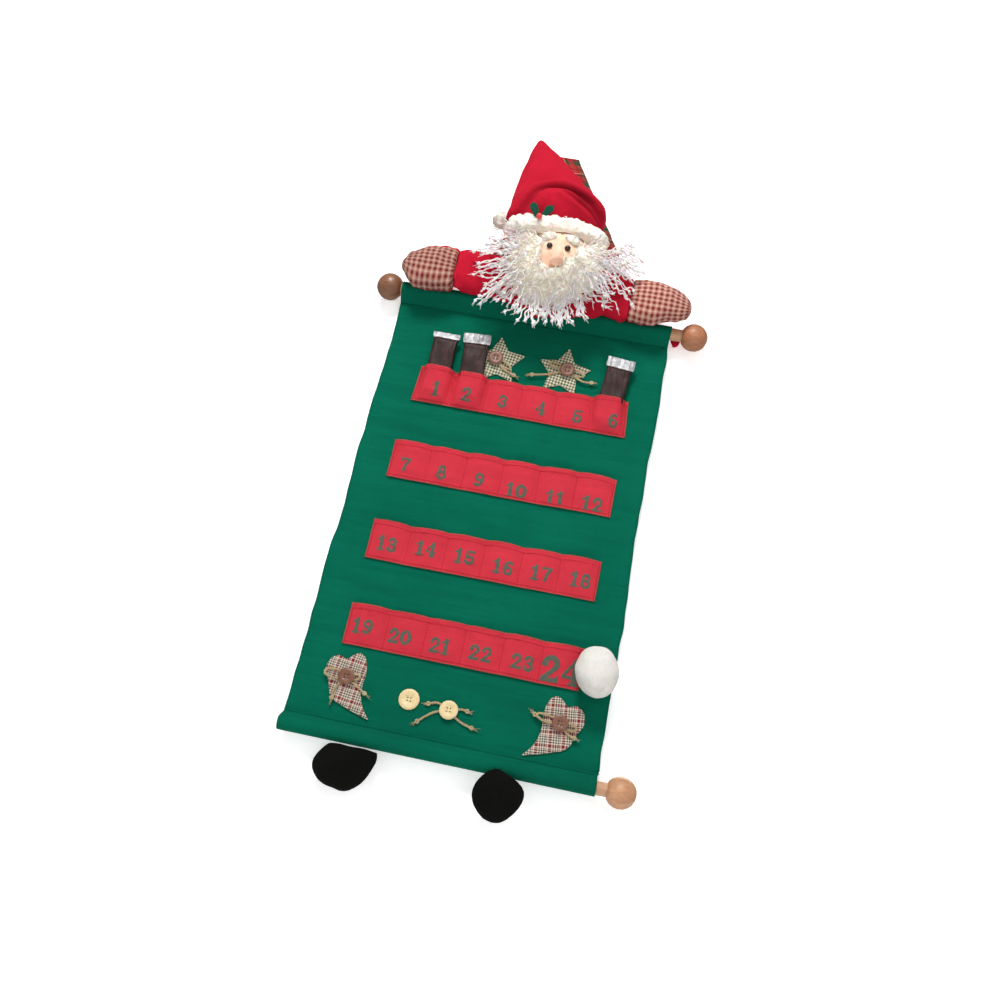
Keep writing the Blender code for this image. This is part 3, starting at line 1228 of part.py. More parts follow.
make_banner()
top_balls = make_rods()
for strip_row in range(ROWS):
    make_pocket_row(strip_row)
for bar_number, bar_sizes in enumerate(zip(FULL_POCKETS, BAR_OFFSET_SHARES, BAR_LEAN, BAR_TOP_CRIMP_SHARES), start=1):
    make_treat_bar(bar_number, *bar_sizes)
make_ribbon()
make_doll(banner_keep_out(), top_balls)
make_boots()
make_decorations()
make_marker()
bpy.context.view_layer.update()
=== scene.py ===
"""The looks of the hanging advent calendar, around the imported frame.

Units are metres. The wall is at Y 0 and the nail at Z 0. Heights below are from TOP, the banner's top edge.
"""
import math
import random

import bmesh
import bpy
import numpy as np
from mathutils import Euler, Matrix, Vector


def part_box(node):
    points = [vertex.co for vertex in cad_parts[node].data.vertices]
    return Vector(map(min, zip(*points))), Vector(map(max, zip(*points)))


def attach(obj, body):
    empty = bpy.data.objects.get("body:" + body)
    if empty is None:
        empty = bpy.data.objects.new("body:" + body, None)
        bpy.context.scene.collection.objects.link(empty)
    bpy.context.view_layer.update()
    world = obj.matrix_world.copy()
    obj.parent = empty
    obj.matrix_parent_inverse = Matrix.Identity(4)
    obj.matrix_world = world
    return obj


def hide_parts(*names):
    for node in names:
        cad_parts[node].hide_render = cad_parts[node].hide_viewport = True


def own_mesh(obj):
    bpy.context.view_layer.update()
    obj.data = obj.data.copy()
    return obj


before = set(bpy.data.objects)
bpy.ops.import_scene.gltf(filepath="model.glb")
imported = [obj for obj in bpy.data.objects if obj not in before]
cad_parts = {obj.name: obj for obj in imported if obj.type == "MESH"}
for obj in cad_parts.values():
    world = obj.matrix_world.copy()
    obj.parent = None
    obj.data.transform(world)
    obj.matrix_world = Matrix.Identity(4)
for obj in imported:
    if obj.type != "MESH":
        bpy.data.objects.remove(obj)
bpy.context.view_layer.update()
scene = bpy.context.scene
MM = 0.001

# Places that the frame gives
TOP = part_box("banner")[1].z
HEAD_X = 0.016


# Camera, light and stage
def make_camera():
    right = Vector((0.97836917, 0.02663086, 0.20514524))
    down = Vector((0.18346336, 0.34647721, -0.91994279))
    ahead = Vector((-0.09557701, 0.9376803, 0.33409683))
    camera = bpy.data.objects.new("camera", bpy.data.cameras.new("camera"))
    scene.collection.objects.link(camera)
    turn = Matrix((right, -down, -ahead)).transposed().to_4x4()
    camera.matrix_world = Matrix.Translation((0.10385, -0.95959, -0.72129)) @ turn
    camera.data.lens = 37.5476
    camera.data.sensor_width = 36
    camera.data.clip_start = 0.01
    scene.camera = camera


def make_light(name, place, target, size, watts):
    light = bpy.data.lights.new(name, "AREA")
    light.shape = "DISK"
    light.size = size
    light.energy = watts
    lamp = bpy.data.objects.new(name, light)
    scene.collection.objects.link(lamp)
    lamp.location = place
    lamp.rotation_euler = (Vector(target) - Vector(place)).to_track_quat("-Z", "Y").to_euler()


def make_world():
    world = bpy.data.worlds.new("studio")
    scene.world = world
    world.use_nodes = True
    tree = world.node_tree
    rays = tree.nodes.new("ShaderNodeLightPath")
    soft = tree.nodes["Background"]
    soft.inputs["Color"].default_value = (1, 1, 1, 1)
    soft.inputs["Strength"].default_value = 0.40
    bright = tree.nodes.new("ShaderNodeBackground")
    bright.inputs["Color"].default_value = (1, 1, 1, 1)
    either = tree.nodes.new("ShaderNodeMath")
    either.operation = "MAXIMUM"
    tree.links.new(rays.outputs["Is Camera Ray"], either.inputs[0])
    tree.links.new(rays.outputs["Is Transmission Ray"], either.inputs[1])
    mix = tree.nodes.new("ShaderNodeMixShader")
    tree.links.new(either.outputs[0], mix.inputs[0])
    tree.links.new(soft.outputs[0], mix.inputs[1])
    tree.links.new(bright.outputs[0], mix.inputs[2])
    tree.links.new(mix.outputs[0], tree.nodes["World Output"].inputs["Surface"])


def stage_plane(name, place, turn, size, glow):
    mesh = bpy.data.meshes.new(name)
    half = size / 2
    mesh.from_pydata([(-half, -half, 0), (half, -half, 0), (half, half, 0), (-half, half, 0)], [],
                     [(0, 1, 2, 3)])
    plane = bpy.data.objects.new(name, mesh)
    scene.collection.objects.link(plane)
    plane.location = place
    plane.rotation_euler = turn
    material = bpy.data.materials.new(name)
    material.use_nodes = True
    tree = material.node_tree
    shader = tree.nodes["Principled BSDF"]
    shader.inputs["Base Color"].default_value = (0.9, 0.9, 0.9, 1)
    shader.inputs["Roughness"].default_value = 1.0
    shader.inputs["Specular IOR Level"].default_value = 0.0
    rays = tree.nodes.new("ShaderNodeLightPath")
    lift = tree.nodes.new("ShaderNodeMath")
    lift.operation = "MULTIPLY"
    lift.inputs[1].default_value = glow
    tree.links.new(rays.outputs["Is Camera Ray"], lift.inputs[0])
    tree.links.new(lift.outputs[0], shader.inputs["Emission Strength"])
    shader.inputs["Emission Color"].default_value = (1, 1, 1, 1)
    mesh.materials.append(material)
    return plane, material


def make_stage():
    stage_plane("floor", (0, 0, -0.90), (0, 0, 0), 8, 0.35)
    wall, material = stage_plane("wall", (0, 0.0085, -0.3), (math.pi / 2, 0, 0), 8, 0.42)
    wall.visible_diffuse = False
    wall.visible_glossy = False
    wall.visible_shadow = False
    tree = material.node_tree
    side = tree.nodes.new("ShaderNodeNewGeometry")
    clear = tree.nodes.new("ShaderNodeBsdfTransparent")
    mix = tree.nodes.new("ShaderNodeMixShader")
    tree.links.new(side.outputs["Backfacing"], mix.inputs[0])
    tree.links.new(tree.nodes["Principled BSDF"].outputs[0], mix.inputs[1])
    tree.links.new(clear.outputs[0], mix.inputs[2])
    tree.links.new(mix.outputs[0], tree.nodes["Material Output"].inputs["Surface"])


scene.view_settings.view_transform = "Standard"
make_camera()
make_world()
FRONT_MIDDLE = (0, -0.03, -0.35)
make_light("key", (-0.25, -1.35, 0.85), FRONT_MIDDLE, 0.5, 29)
make_light("fill", (0.8, -1.5, -0.3), FRONT_MIDDLE, 1.2, 4)
make_light("back", (0.3, 1.3, 0.5), (0, 0, -0.3), 1.2, 16)
make_stage()


# Noise and meshes
WAVES = 16


def ripple(points, size, seed, stretch=(1, 1, 1)):
    """Smooth noise of about that size, mostly within -1 and 1: a sum of sine waves in seeded directions."""
    draw = np.random.RandomState(seed)
    ways = draw.normal(size=(WAVES, 3))
    ways /= np.linalg.norm(ways, axis=1)[:, None]
    turns = math.tau / size * draw.uniform(0.55, 1.5, WAVES)
    phases = draw.uniform(0, math.tau, WAVES)
    waves = np.sin((np.asarray(points) * stretch) @ (ways * turns[:, None]).T + phases)
    return waves.sum(1) * 1.1 / math.sqrt(WAVES)


def step_up(low, high, value):
    share = np.clip((value - low) / (high - low), 0, 1)
    return share * share * (3 - 2 * share)


def new_piece(name, points, faces, material, body="calendar", uv=None):
    """One mesh piece that rides on a body. uv gives a place in the cloth for every point, in metres."""
    mesh = bpy.data.meshes.new(name)
    mesh.from_pydata([tuple(point) for point in np.asarray(points, float)], [],
                     [tuple(face) for face in faces])
    mesh.update()
    if uv is not None:
        write_uv(mesh, uv)
    mesh.shade_smooth()
    mesh.materials.append(material)
    piece = bpy.data.objects.new(name, mesh)
    scene.collection.objects.link(piece)
    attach(piece, body)
    return piece


def write_uv(mesh, uv, turn=None):
    """Writes the uv of each point to its corners. turn is the length of a full turn, where the map closes."""
    layer = mesh.uv_layers.new(name="cloth")
    corners = np.zeros(len(mesh.loops), int)
    mesh.loops.foreach_get("vertex_index", corners)
    values = np.asarray(uv, float)[corners]
    if turn:
        for face in mesh.polygons:
            span = slice(face.loop_start, face.loop_start + face.loop_total)
            across = values[span, 1]
            if across.max() - across.min() > turn / 2:
                values[span, 1] = np.where(across < across.max() - turn / 2, across + turn, across)
    layer.data.foreach_set("uv", values.ravel())


def places(piece):
    spots = np.zeros(len(piece.data.vertices) * 3)
    piece.data.vertices.foreach_get("co", spots)
    return spots.reshape(-1, 3)


def facings(piece):
    ways = np.zeros(len(piece.data.vertices) * 3)
    piece.data.vertices.foreach_get("normal", ways)
    return ways.reshape(-1, 3)


def put(piece, spots):
    piece.data.vertices.foreach_set("co", np.asarray(spots, float).ravel())
    piece.data.update()


def applied(piece):
    """Replaces the piece's mesh by what its modifiers make of it."""
    graph = bpy.context.evaluated_depsgraph_get()
    made = bpy.data.meshes.new_from_object(piece.evaluated_get(graph))
    old = piece.data
    piece.modifiers.clear()
    piece.data = made
    bpy.data.meshes.remove(old)
    return piece


def weld(mesh, distance, source=None, normals=False):
    """Merges close points of a mesh, or of the source mesh that it is made from."""
    shape = bmesh.new()
    shape.from_mesh(source or mesh)
    bmesh.ops.remove_doubles(shape, verts=shape.verts, dist=distance)
    if normals:
        bmesh.ops.recalc_face_normals(shape, faces=shape.faces)
    shape.to_mesh(mesh)
    shape.free()


def thicken(piece, thickness):
    thick = piece.modifiers.new("cloth", "SOLIDIFY")
    thick.thickness = thickness
    thick.offset = 0


def ring_faces(rings, sides, start=0, capped=True):
    """Faces between rings of points, and one over each end."""
    faces = []
    for low in range(start, start + (rings - 1) * sides, sides):
        for side in range(sides):
            after = (side + 1) % sides
            faces.append((low + side, low + after, low + sides + after, low + sides + side))
    if capped:
        last = start + (rings - 1) * sides
        faces.append(tuple(start + side for side in reversed(range(sides))))
        faces.append(tuple(last + side for side in range(sides)))
    return faces


def grid_faces(rows, columns):
    """Faces of a sheet of points, row after row."""
    faces = []
    for row in range(rows - 1):
        for first in range(row * columns, (row + 1) * columns - 1):
            faces.append((first, first + 1, first + columns + 1, first + columns))
    return faces


def wall_faces(faces, count):
    """Walls from the border of a sheet to the same border of its copy, whose points come count later."""
    edges = {}
    for face in faces:
        for one, other in zip(face, face[1:] + face[:1]):
            edges[(one, other)] = True
    return [(other, one, count + one, count + other) for one, other in edges if (other, one) not in edges]


def rebuilt(node, name, voxel, material, body="calendar", smooth_steps=4):
    """A CAD solid's form as an even mesh, to be worked on as cloth. It stands for the node."""
    mesh = bpy.data.meshes.new(name)
    weld(mesh, 0.00002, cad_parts[node].data)
    piece = bpy.data.objects.new(name, mesh)
    scene.collection.objects.link(piece)
    grid = piece.modifiers.new("grid", "REMESH")
    grid.mode = "VOXEL"
    grid.voxel_size = voxel
    even = piece.modifiers.new("even", "SMOOTH")
    even.factor = 0.5
    even.iterations = smooth_steps
    bpy.context.view_layer.update()
    applied(piece)
    piece.data.materials.clear()
    piece.data.materials.append(material)
    piece.data.shade_smooth()
    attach(piece, body)
    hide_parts(node)
    return piece


def spline(points, step):
    """Even points along a smooth curve through the given ones."""
    knots = np.asarray(points, float)
    knots = np.vstack([2 * knots[0] - knots[1], knots, 2 * knots[-1] - knots[-2]])
    fine = []
    for index in range(1, len(knots) - 2):
        before, start, end, after = knots[index - 1:index + 3]
        for share in np.linspace(0, 1, 12, endpoint=False):
            fine.append(0.5 * (2 * start + (end - before) * share
                               + (2 * before - 5 * start + 4 * end - after) * share ** 2
                               + (3 * start - before - 3 * end + after) * share ** 3))
    fine.append(knots[-2])
    fine = np.array(fine)
    run = np.concatenate([[0], np.cumsum(np.linalg.norm(np.diff(fine, axis=0), axis=1))])
    count = max(3, int(round(run[-1] / step)) + 1)
    even = np.linspace(0, run[-1], count)
    return np.stack([np.interp(even, run, fine[:, axis]) for axis in range(3)], 1)


def sides_of(path):
    """Two directions across a path, which doesn't run along Y for long."""
    ahead = np.gradient(path, axis=0)
    ahead /= np.linalg.norm(ahead, axis=1)[:, None] + 1e-12
    side = np.cross(ahead, (0.02, 1, 0.03))
    side /= np.linalg.norm(side, axis=1)[:, None] + 1e-9
    return side, np.cross(side, ahead)


class Tubes:
    """Many round strands in one mesh, each closed at its ends."""

    def __init__(self):
        self.points, self.faces, self.uv, self.count = [], [], [], 0

    def add(self, path, radii, sides=5, shift=0.0):
        path = np.asarray(path, float)
        radii = np.broadcast_to(radii, len(path))
        side, up = sides_of(path)
        turns = np.arange(sides) * math.tau / sides
        ring = (np.cos(turns)[None, :, None] * side[:, None, :]
                + np.sin(turns)[None, :, None] * up[:, None, :])
        self.points.append((path[:, None, :] + radii[:, None, None] * ring).reshape(-1, 3))
        run = np.concatenate([[0], np.cumsum(np.linalg.norm(np.diff(path, axis=0), axis=1))])
        self.uv.append(np.stack([np.repeat(run + shift, sides), np.tile(turns, len(path)) * 0.001], 1))
        self.faces += ring_faces(len(path), sides, self.count)
        self.count += len(path) * sides

    def piece(self, name, material, slot, body="calendar"):
        return new_piece(name, np.vstack(self.points), self.faces, material, body, np.vstack(self.uv))


def knot(tubes, place, radius, draw, turns=1.6, thick=0.5):
    """A small round knot: a strand wound on itself."""
    tilt = draw.uniform(0, math.tau)
    path = []
    for share in np.linspace(0, 1, 15):
        turn = math.tau * turns * share + tilt
        wobble = math.sin(2.3 * turn)
        path.append((place[0] + radius * 0.62 * math.cos(turn), place[1] - radius * 0.35 * wobble,
                     place[2] + radius * 0.62 * math.sin(turn)))
    tubes.add(path, radius * thick, 5)


def flat_shape(distance, low, high, step):
    """The flat region where distance is negative, in fine cells cut at its edge: places, faces, distances."""
    across = np.arange(low[0], high[0] + step, step)
    upward = np.arange(low[1], high[1] + step, step)
    grid = np.stack(np.meshgrid(across, upward, indexing="ij"), -1)
    field = distance(grid.reshape(-1, 2)).reshape(grid.shape[:2])
    points, depths, known, faces = [], [], {}, []

    def corner(key):
        if key not in known:
            known[key] = len(points)
            points.append(grid[key])
            depths.append(-field[key])
        return known[key]

    def crossing(one, other):
        key = (min(one, other), max(one, other))
        if key not in known:
            share = field[one] / (field[one] - field[other])
            known[key] = len(points)
            points.append(grid[one] + (grid[other] - grid[one]) * share)
            depths.append(0.0)
        return known[key]

    for i, j in zip(*np.nonzero((field[:-1, :-1] < 0) | (field[1:, :-1] < 0) | (field[:-1, 1:] < 0)
                                | (field[1:, 1:] < 0))):
        corners = [(i, j), (i + 1, j), (i + 1, j + 1), (i, j + 1)]
        face = []
        for index, one in enumerate(corners):
            other = corners[(index + 1) % 4]
            if field[one] < 0:
                face.append(corner(one))
            if (field[one] < 0) != (field[other] < 0):
                face.append(crossing(one, other))
        if len(face) > 2:
            faces.append(tuple(face))
    return np.array(points), faces, np.array(depths)


def slab(points, faces, front, back):
    """A closed solid from a flat region in X and Z, with a front and a back Y for every point."""
    count = len(points)
    fronts = np.stack([points[:, 0], front, points[:, 1]], 1)
    backs = np.stack([points[:, 0], back, points[:, 1]], 1)
    rear = [tuple(count + index for index in reversed(face)) for face in faces]
    return np.vstack([fronts, backs]), faces + rear + wall_faces(faces, count)


def polygon_distance(outline):
    """Signed distance to a closed outline, negative inside."""
    outline = np.asarray(outline, float)
    following = np.roll(outline, -1, axis=0)

    def distance(places):
        nearest = np.full(len(places), 1e9)
        inside = np.zeros(len(places), bool)
        for start, end in zip(outline, following):
            way = end - start
            share = np.clip(((places - start) @ way) / (way @ way), 0, 1)
            nearest = np.minimum(nearest, np.linalg.norm(places - start - share[:, None] * way, axis=1))
            crosses = (start[1] > places[:, 1]) != (end[1] > places[:, 1])
            if start[1] != end[1]:
                at = start[0] + (places[:, 1] - start[1]) / (end[1] - start[1]) * way[0]
                inside ^= crosses & (places[:, 0] < at)
        return np.where(inside, -nearest, nearest)

    return distance


# Materials
class Finish:
    """A procedural material. A value that is a socket is linked, and any other is set."""

    def __init__(self, name, roughness, **constants):
        self.material = bpy.data.materials.new(name)
        self.material.use_nodes = True
        self.tree = self.material.node_tree
        self.shader = self.tree.nodes["Principled BSDF"]
        self.write(self.shader,
                   {"Roughness": roughness, **{key.replace("_", " "): v for key, v in constants.items()}})
        self.where = self.tree.nodes.new("ShaderNodeTexCoord")

    def write(self, node, values):
        for key, value in values.items():
            socket = node.inputs[key]
            if isinstance(value, bpy.types.NodeSocket):
                self.tree.links.new(value, socket)
            elif isinstance(value, tuple) and len(value) == 3 and socket.type == "RGBA":
                socket.default_value = (*value, 1)
            else:
                socket.default_value = value

    def add(self, kind, values, output=0, **settings):
        node = self.tree.nodes.new(kind)
        for key, value in settings.items():
            setattr(node, key, value)
        self.write(node, values)
        return node.outputs[output]

    def at(self, stretch=(1, 1, 1), kind="Object"):
        return self.add("ShaderNodeMapping", {"Vector": self.where.outputs[kind], "Scale": stretch})

    def sum(self, operation, one, other=0.0):
        return self.add("ShaderNodeMath", {0: one, 1: other}, operation=operation)

    def noise(self, vector, size, detail=3.0, rough=0.55):
        return self.add("ShaderNodeTexNoise", {"Vector": vector, "Scale": 1 / size, "Detail": detail,
                                               "Roughness": rough})

    def mix(self, share, one, other, blend="MIX"):
        return self.add("ShaderNodeMix", {0: share, 6: one, 7: other}, 2, data_type="RGBA", blend_type=blend)

    def span(self, value, low, high, to_low=0.0, to_high=1.0):
        return self.add("ShaderNodeMapRange", {"Value": value, "From Min": low, "From Max": high,
                                               "To Min": to_low, "To Max": to_high})

    def ramp(self, value, stops):
        node = self.tree.nodes.new("ShaderNodeValToRGB")
        node.color_ramp.interpolation = "CONSTANT"
        while len(node.color_ramp.elements) < len(stops):
            node.color_ramp.elements.new(0.5)
        for element, (place, colour) in zip(node.color_ramp.elements, stops):
            element.position = place
            element.color = (*colour, 1)
        self.write(node, {"Fac": value})
        return node.outputs[0]

    def split(self, vector):
        node = self.tree.nodes.new("ShaderNodeSeparateXYZ")
        self.write(node, {"Vector": vector})
        return node.outputs

    def bump(self, height, distance, strength=1.0, below=None):
        values = {"Height": height, "Distance": distance, "Strength": strength}
        if below is not None:
            values["Normal"] = below
        return self.add("ShaderNodeBump", values)

    def weave(self, one, other, thread):
        """The height of plain woven threads, over and under."""
        turn = math.tau / thread
        return self.sum("MULTIPLY", self.sum("SINE", self.sum("MULTIPLY", one, turn)),
                        self.sum("SINE", self.sum("MULTIPLY", other, turn)))

    def finish(self, colour, normal=None, roughness=None):
        values = {"Base Color": colour}
        if normal is not None:
            values["Normal"] = normal
        if roughness is not None:
            values["Roughness"] = roughness
        self.write(self.shader, values)
        return self.material


def darker(colour, share):
    return tuple(value * share for value in colour)


def cloth(name, colour, thread, kind="Object", shade=0.8, light=1.12, crease=0.0004, nap=0.00012, sheen=0.2,
          slub=(1, 1, 1), broad=0.05, pull=None, fold=None):
    """Plain woven or felted cloth: broad darker patches, flecks, threads, small creases and a nap, with
    painted shade in the weave's hollows, in stretched creases when pull is given, and in folds from a point
    attribute when fold names one.
    """
    made = Finish(name, 0.92, Sheen_Weight=sheen, Sheen_Roughness=0.6)
    made.write(made.shader, {"Sheen Tint": (*colour, 1), "Specular IOR Level": 0.06})
    where = made.at(kind=kind)
    parts = made.split(where)
    wide = made.noise(made.at(slub, kind), broad, 4.0, 0.6)
    fleck = made.noise(where, 0.0014, 3.0, 0.7)
    body = made.mix(made.span(wide, 0.32, 0.7), darker(colour, shade), colour)
    body = made.mix(made.span(fleck, 0.45, 0.85, 0.0, 0.45), body, darker(colour, light))
    other = parts[1] if kind == "UV" else parts[2]
    threads = made.weave(parts[0], other, thread)
    # Painted shade in the weave's hollows: darker where the thread bump is low.
    body = made.mix(made.span(threads, -1, 1, 0.10, 0.0), body, darker(colour, 0.6))
    folds = made.noise(made.at((1, 1, 1.6), kind), 0.018, 5.0, 0.62)
    normal = made.bump(folds, crease)
    if pull:
        drawn = made.noise(made.at(pull, kind), 0.022, 3.0, 0.5)
        normal = made.bump(made.span(drawn, 0.42, 0.62), 0.0014, 0.6, normal)
        # Painted shade in the stretched creases: darker where their noise is low, on the low side of their
        # bump.
        body = made.mix(made.span(drawn, 0.36, 0.48, 0.22, 0.0), body, darker(colour, 0.5))
    # Painted fold shade: the point attribute that fold names darkens the colour where it is high.
    if fold:
        deep = made.add("ShaderNodeAttribute", {}, "Fac", attribute_name=fold)
        body = made.mix(made.sum("MULTIPLY", deep, 0.85), body, darker(colour, 0.22))
    normal = made.bump(made.noise(where, 0.0011, 2.0), nap, 1.0, normal)
    normal = made.bump(threads, thread * 0.16, 1.0, normal)
    return made.finish(body, normal, made.span(fleck, 0.3, 0.8, 0.84, 0.98))


def checked(name, period, across, upward, thread=0.0005, share=0.5, kind="UV"):
    """Yarn-dyed cloth: stripes one way laid over stripes the other way, thread over thread."""
    made = Finish(name, 0.93, Sheen_Weight=0.12)
    made.write(made.shader, {"Specular IOR Level": 0.08})
    where = made.at(kind=kind)
    wander = made.noise(where, 0.012, 2.0)
    parts = made.split(where)
    other = parts[1] if kind == "UV" else parts[2]
    bend = made.span(wander, 0, 1, -0.0007, 0.0007)
    run = made.sum("FRACT", made.sum("MULTIPLY", made.sum("ADD", parts[0], bend), 1 / period))
    rise = made.sum("FRACT", made.sum("MULTIPLY", made.sum("SUBTRACT", other, bend), 1 / period))
    warp, weft = made.ramp(run, across), made.ramp(rise, upward)
    twill = made.sum("SINE", made.sum("MULTIPLY", made.sum("ADD", parts[0], other), math.tau / thread))
    body = made.mix(made.span(twill, -1, 1, share - 0.28, share + 0.28), warp, weft)
    fleck = made.noise(where, 0.0008, 3.0, 0.7)
    body = made.mix(made.span(fleck, 0.35, 0.8, 0.0, 0.35), body, (0.75, 0.75, 0.75), "MULTIPLY")
    broad = made.noise(where, 0.03, 3.0)
    body = made.mix(made.span(broad, 0.35, 0.75, 0.25, 0.0), body, (0.72, 0.72, 0.72), "MULTIPLY")
    threads = made.weave(parts[0], other, thread)
    normal = made.bump(made.noise(where, 0.007, 4.0), 0.0005)
    normal = made.bump(threads, 0.00012, 1.0, normal)
    return made.finish(body, normal, made.span(fleck, 0.3, 0.8, 0.85, 0.99))


def wood(name, pale, dark, gloss=0.42):
    made = Finish(name, gloss, Coat_Weight=0.12, Coat_Roughness=0.35)
    grain = made.noise(made.at((0.12, 1, 1)), 0.0016, 5.0, 0.6)
    broad = made.noise(made.at((0.35, 1, 1)), 0.009, 3.0, 0.5)
    body = made.mix(made.span(broad, 0.3, 0.72), pale, dark)
    body = made.mix(made.span(grain, 0.42, 0.68, 0.0, 0.55), body, darker(dark, 0.62))
    pores = made.noise(made.at((0.05, 1, 1)), 0.0007, 2.0)
    normal = made.bump(grain, 0.00012)
    return made.finish(body, made.bump(pores, 0.00006, 1.0, normal),
                       made.span(broad, 0.3, 0.7, gloss, gloss + 0.16))


def woolly(name, colour, shadow, lump=0.0022, depth=0.0012, sheen=0.15, through=0.06):
    """Fleece, plush or wool: lit tufts over painted shade at their roots, darker patches at random, and a
    weak painted glow of the colour.
    """
    made = Finish(name, 0.97, Sheen_Weight=sheen, Sheen_Roughness=0.5, Subsurface_Weight=0.35)
    # Emission: a weak painted glow in the material's own colour, as strong as through.
    made.write(made.shader, {"Specular IOR Level": 0.1, "Subsurface Scale": 0.003, "Sheen Tint": (*colour, 1),
                             "Emission Color": (*colour, 1), "Emission Strength": through})
    where = made.at()
    tufts = made.noise(where, lump, 5.0, 0.65)
    broad = made.noise(where, 0.016, 3.0)
    # Painted shade at the tufts' roots: the shadow colour where their bump is low.
    body = made.mix(made.span(tufts, 0.3, 0.56), shadow, colour)
    body = made.mix(made.span(broad, 0.4, 0.8, 0.0, 0.3), body, shadow)
    return made.finish(body, made.bump(tufts, depth), made.span(tufts, 0.3, 0.7, 0.9, 1.0))


def fibre(name, colour, shadow, twist=0.0016, tip=None, through=0.0):
    """Yarn or twine: its UV runs along the strand, and round it."""
    made = Finish(name, 0.85, Sheen_Weight=0.15, Subsurface_Weight=0.35)
    # Emission: a weak painted glow in the yarn's own colour, as strong as through.
    made.write(made.shader, {"Specular IOR Level": 0.1, "Subsurface Scale": 0.002, "Sheen Tint": (*colour, 1),
                             "Emission Color": (*colour, 1), "Emission Strength": through})
    parts = made.split(made.where.outputs["UV"])
    turned = made.sum("ADD", made.sum("MULTIPLY", parts[0], math.tau / twist),
                      made.sum("MULTIPLY", parts[1], 2000.0))
    plies = made.sum("SINE", turned)
    hairs = made.noise(made.at(), 0.0011, 3.0, 0.7)
    strand = made.noise(made.at(), 0.009, 2.0)
    # Painted shade in the grooves between the plies, where their bump is low, and stretches of the shadow
    # colour at random.
    body = made.mix(made.span(plies, -1, 1), shadow, colour)
    body = made.mix(made.span(hairs, 0.35, 0.8, 0.0, 0.4), body, tip or colour)
    body = made.mix(made.span(strand, 0.35, 0.75, 0.35, 0.0), body, shadow)
    normal = made.bump(plies, 0.0002)
    return made.finish(body, made.bump(hairs, 0.0002, 1.0, normal), made.span(hairs, 0.3, 0.8, 0.8, 0.96))


def skin_finish():
    made = Finish("doll_skin", 0.8, Subsurface_Weight=0.25, Sheen_Weight=0.25)
    made.write(made.shader,
               {"Specular IOR Level": 0.25, "Subsurface Scale": 0.006, "Sheen Tint": (1, 0.8, 0.68, 1)})
    where = made.at()
    parts = made.split(where)
    knit = made.weave(parts[0], parts[2], 0.0007)
    broad = made.noise(where, 0.014, 3.0)
    body = made.mix(made.span(broad, 0.35, 0.7), (0.95, 0.68, 0.50), (0.89, 0.54, 0.38))
    for x, z, reach in ((0.0163, TOP + 0.008, 0.011), (0.001, TOP + 0.009, 0.009),
                        (0.033, TOP + 0.012, 0.010)):
        run = made.add("ShaderNodeVectorMath", {0: where, 1: (x, -0.077, z)}, 1, operation="DISTANCE")
        body = made.mix(made.span(run, 0.0, reach, 0.45, 0.0), body, (0.80, 0.30, 0.21))
    normal = made.bump(made.noise(where, 0.006, 3.0), 0.0005)
    return made.finish(body, made.bump(knit, 0.00008, 1.0, normal), made.span(broad, 0.3, 0.7, 0.74, 0.88))


def glossy(name, colour, rough, sparkle, coat=0.6):
    made = Finish(name, rough, Coat_Weight=coat, Coat_Roughness=0.08)
    dust = made.noise(made.at(), 0.0012, 3.0)
    broad = made.noise(made.at(), 0.005, 2.0)
    body = made.mix(made.span(broad, 0.35, 0.7), colour, sparkle)
    return made.finish(body, made.bump(dust, 0.00004), made.span(dust, 0.35, 0.75, rough, rough + 0.18))


def button_finish(name, pale, dark, ring):
    rough = 0.45
    made = Finish(name, rough, Coat_Weight=0.2, Coat_Roughness=0.25)
    grain = made.noise(made.at((1, 1, 0.25)), 0.0016, 4.0, 0.6)
    blotch = made.noise(made.at(), 0.005, 3.0)
    body = made.mix(made.span(grain, 0.35, 0.66), pale, dark)
    body = made.mix(made.span(blotch, 0.45, 0.75, 0.0, 0.6), body, ring)
    return made.finish(body, made.bump(grain, 0.0001), made.span(blotch, 0.3, 0.7, rough, rough + 0.15))


def ribbon_finish():
    """A red tartan ribbon with cream, green and dark bands."""
    red, deep, cream, green, black = ((0.56, 0.035, 0.035), (0.26, 0.010, 0.014), (0.70, 0.58, 0.40),
                                      (0.025, 0.10, 0.045), (0.02, 0.02, 0.018))
    stripes = ((0.0, red), (0.20, deep), (0.30, green), (0.38, black), (0.42, green), (0.48, red),
               (0.66, deep), (0.72, red), (0.86, cream), (0.89, red), (0.93, black))
    return checked("tartan_ribbon", 0.030, stripes, stripes, 0.00045, 0.5, "UV")


def wrapper_finish(name, colour, light, rough, metal, crinkle, coat):
    made = Finish(name, rough, Metallic=metal, Coat_Weight=coat, Coat_Roughness=0.2, Specular_IOR_Level=0.22)
    where = made.at((1, 1, 0.45))
    folds = made.noise(where, crinkle, 4.0, 0.6)
    fine = made.noise(made.at((1, 1, 0.25)), 0.0013, 3.0, 0.6)
    # Painted highlight and shade: the light colour on the crests of the crinkle bump, the base colour in its
    # hollows.
    body = made.mix(made.span(folds, 0.45, 0.72), colour, light)
    normal = made.bump(folds, 0.0007)
    return made.finish(body, made.bump(fine, 0.0001, 1.0, normal),
                       made.span(fine, 0.3, 0.75, rough, rough + 0.2))


def ink_finish():
    made = Finish("printed_number", 0.85)
    made.write(made.shader, {"Specular IOR Level": 0.25})
    where = made.at()
    wear_and_fold_shade = made.noise(where, 0.0016, 4.0, 0.7)
    threads = made.weave(*[made.split(where)[axis] for axis in (0, 2)], 0.0006)
    body = made.mix(made.span(wear_and_fold_shade, 0.35, 0.75), (0.060, 0.125, 0.092), (0.17, 0.105, 0.085))
    return made.finish(body, made.bump(threads, 0.0001), made.span(wear_and_fold_shade, 0.3, 0.7, 0.8, 0.95))


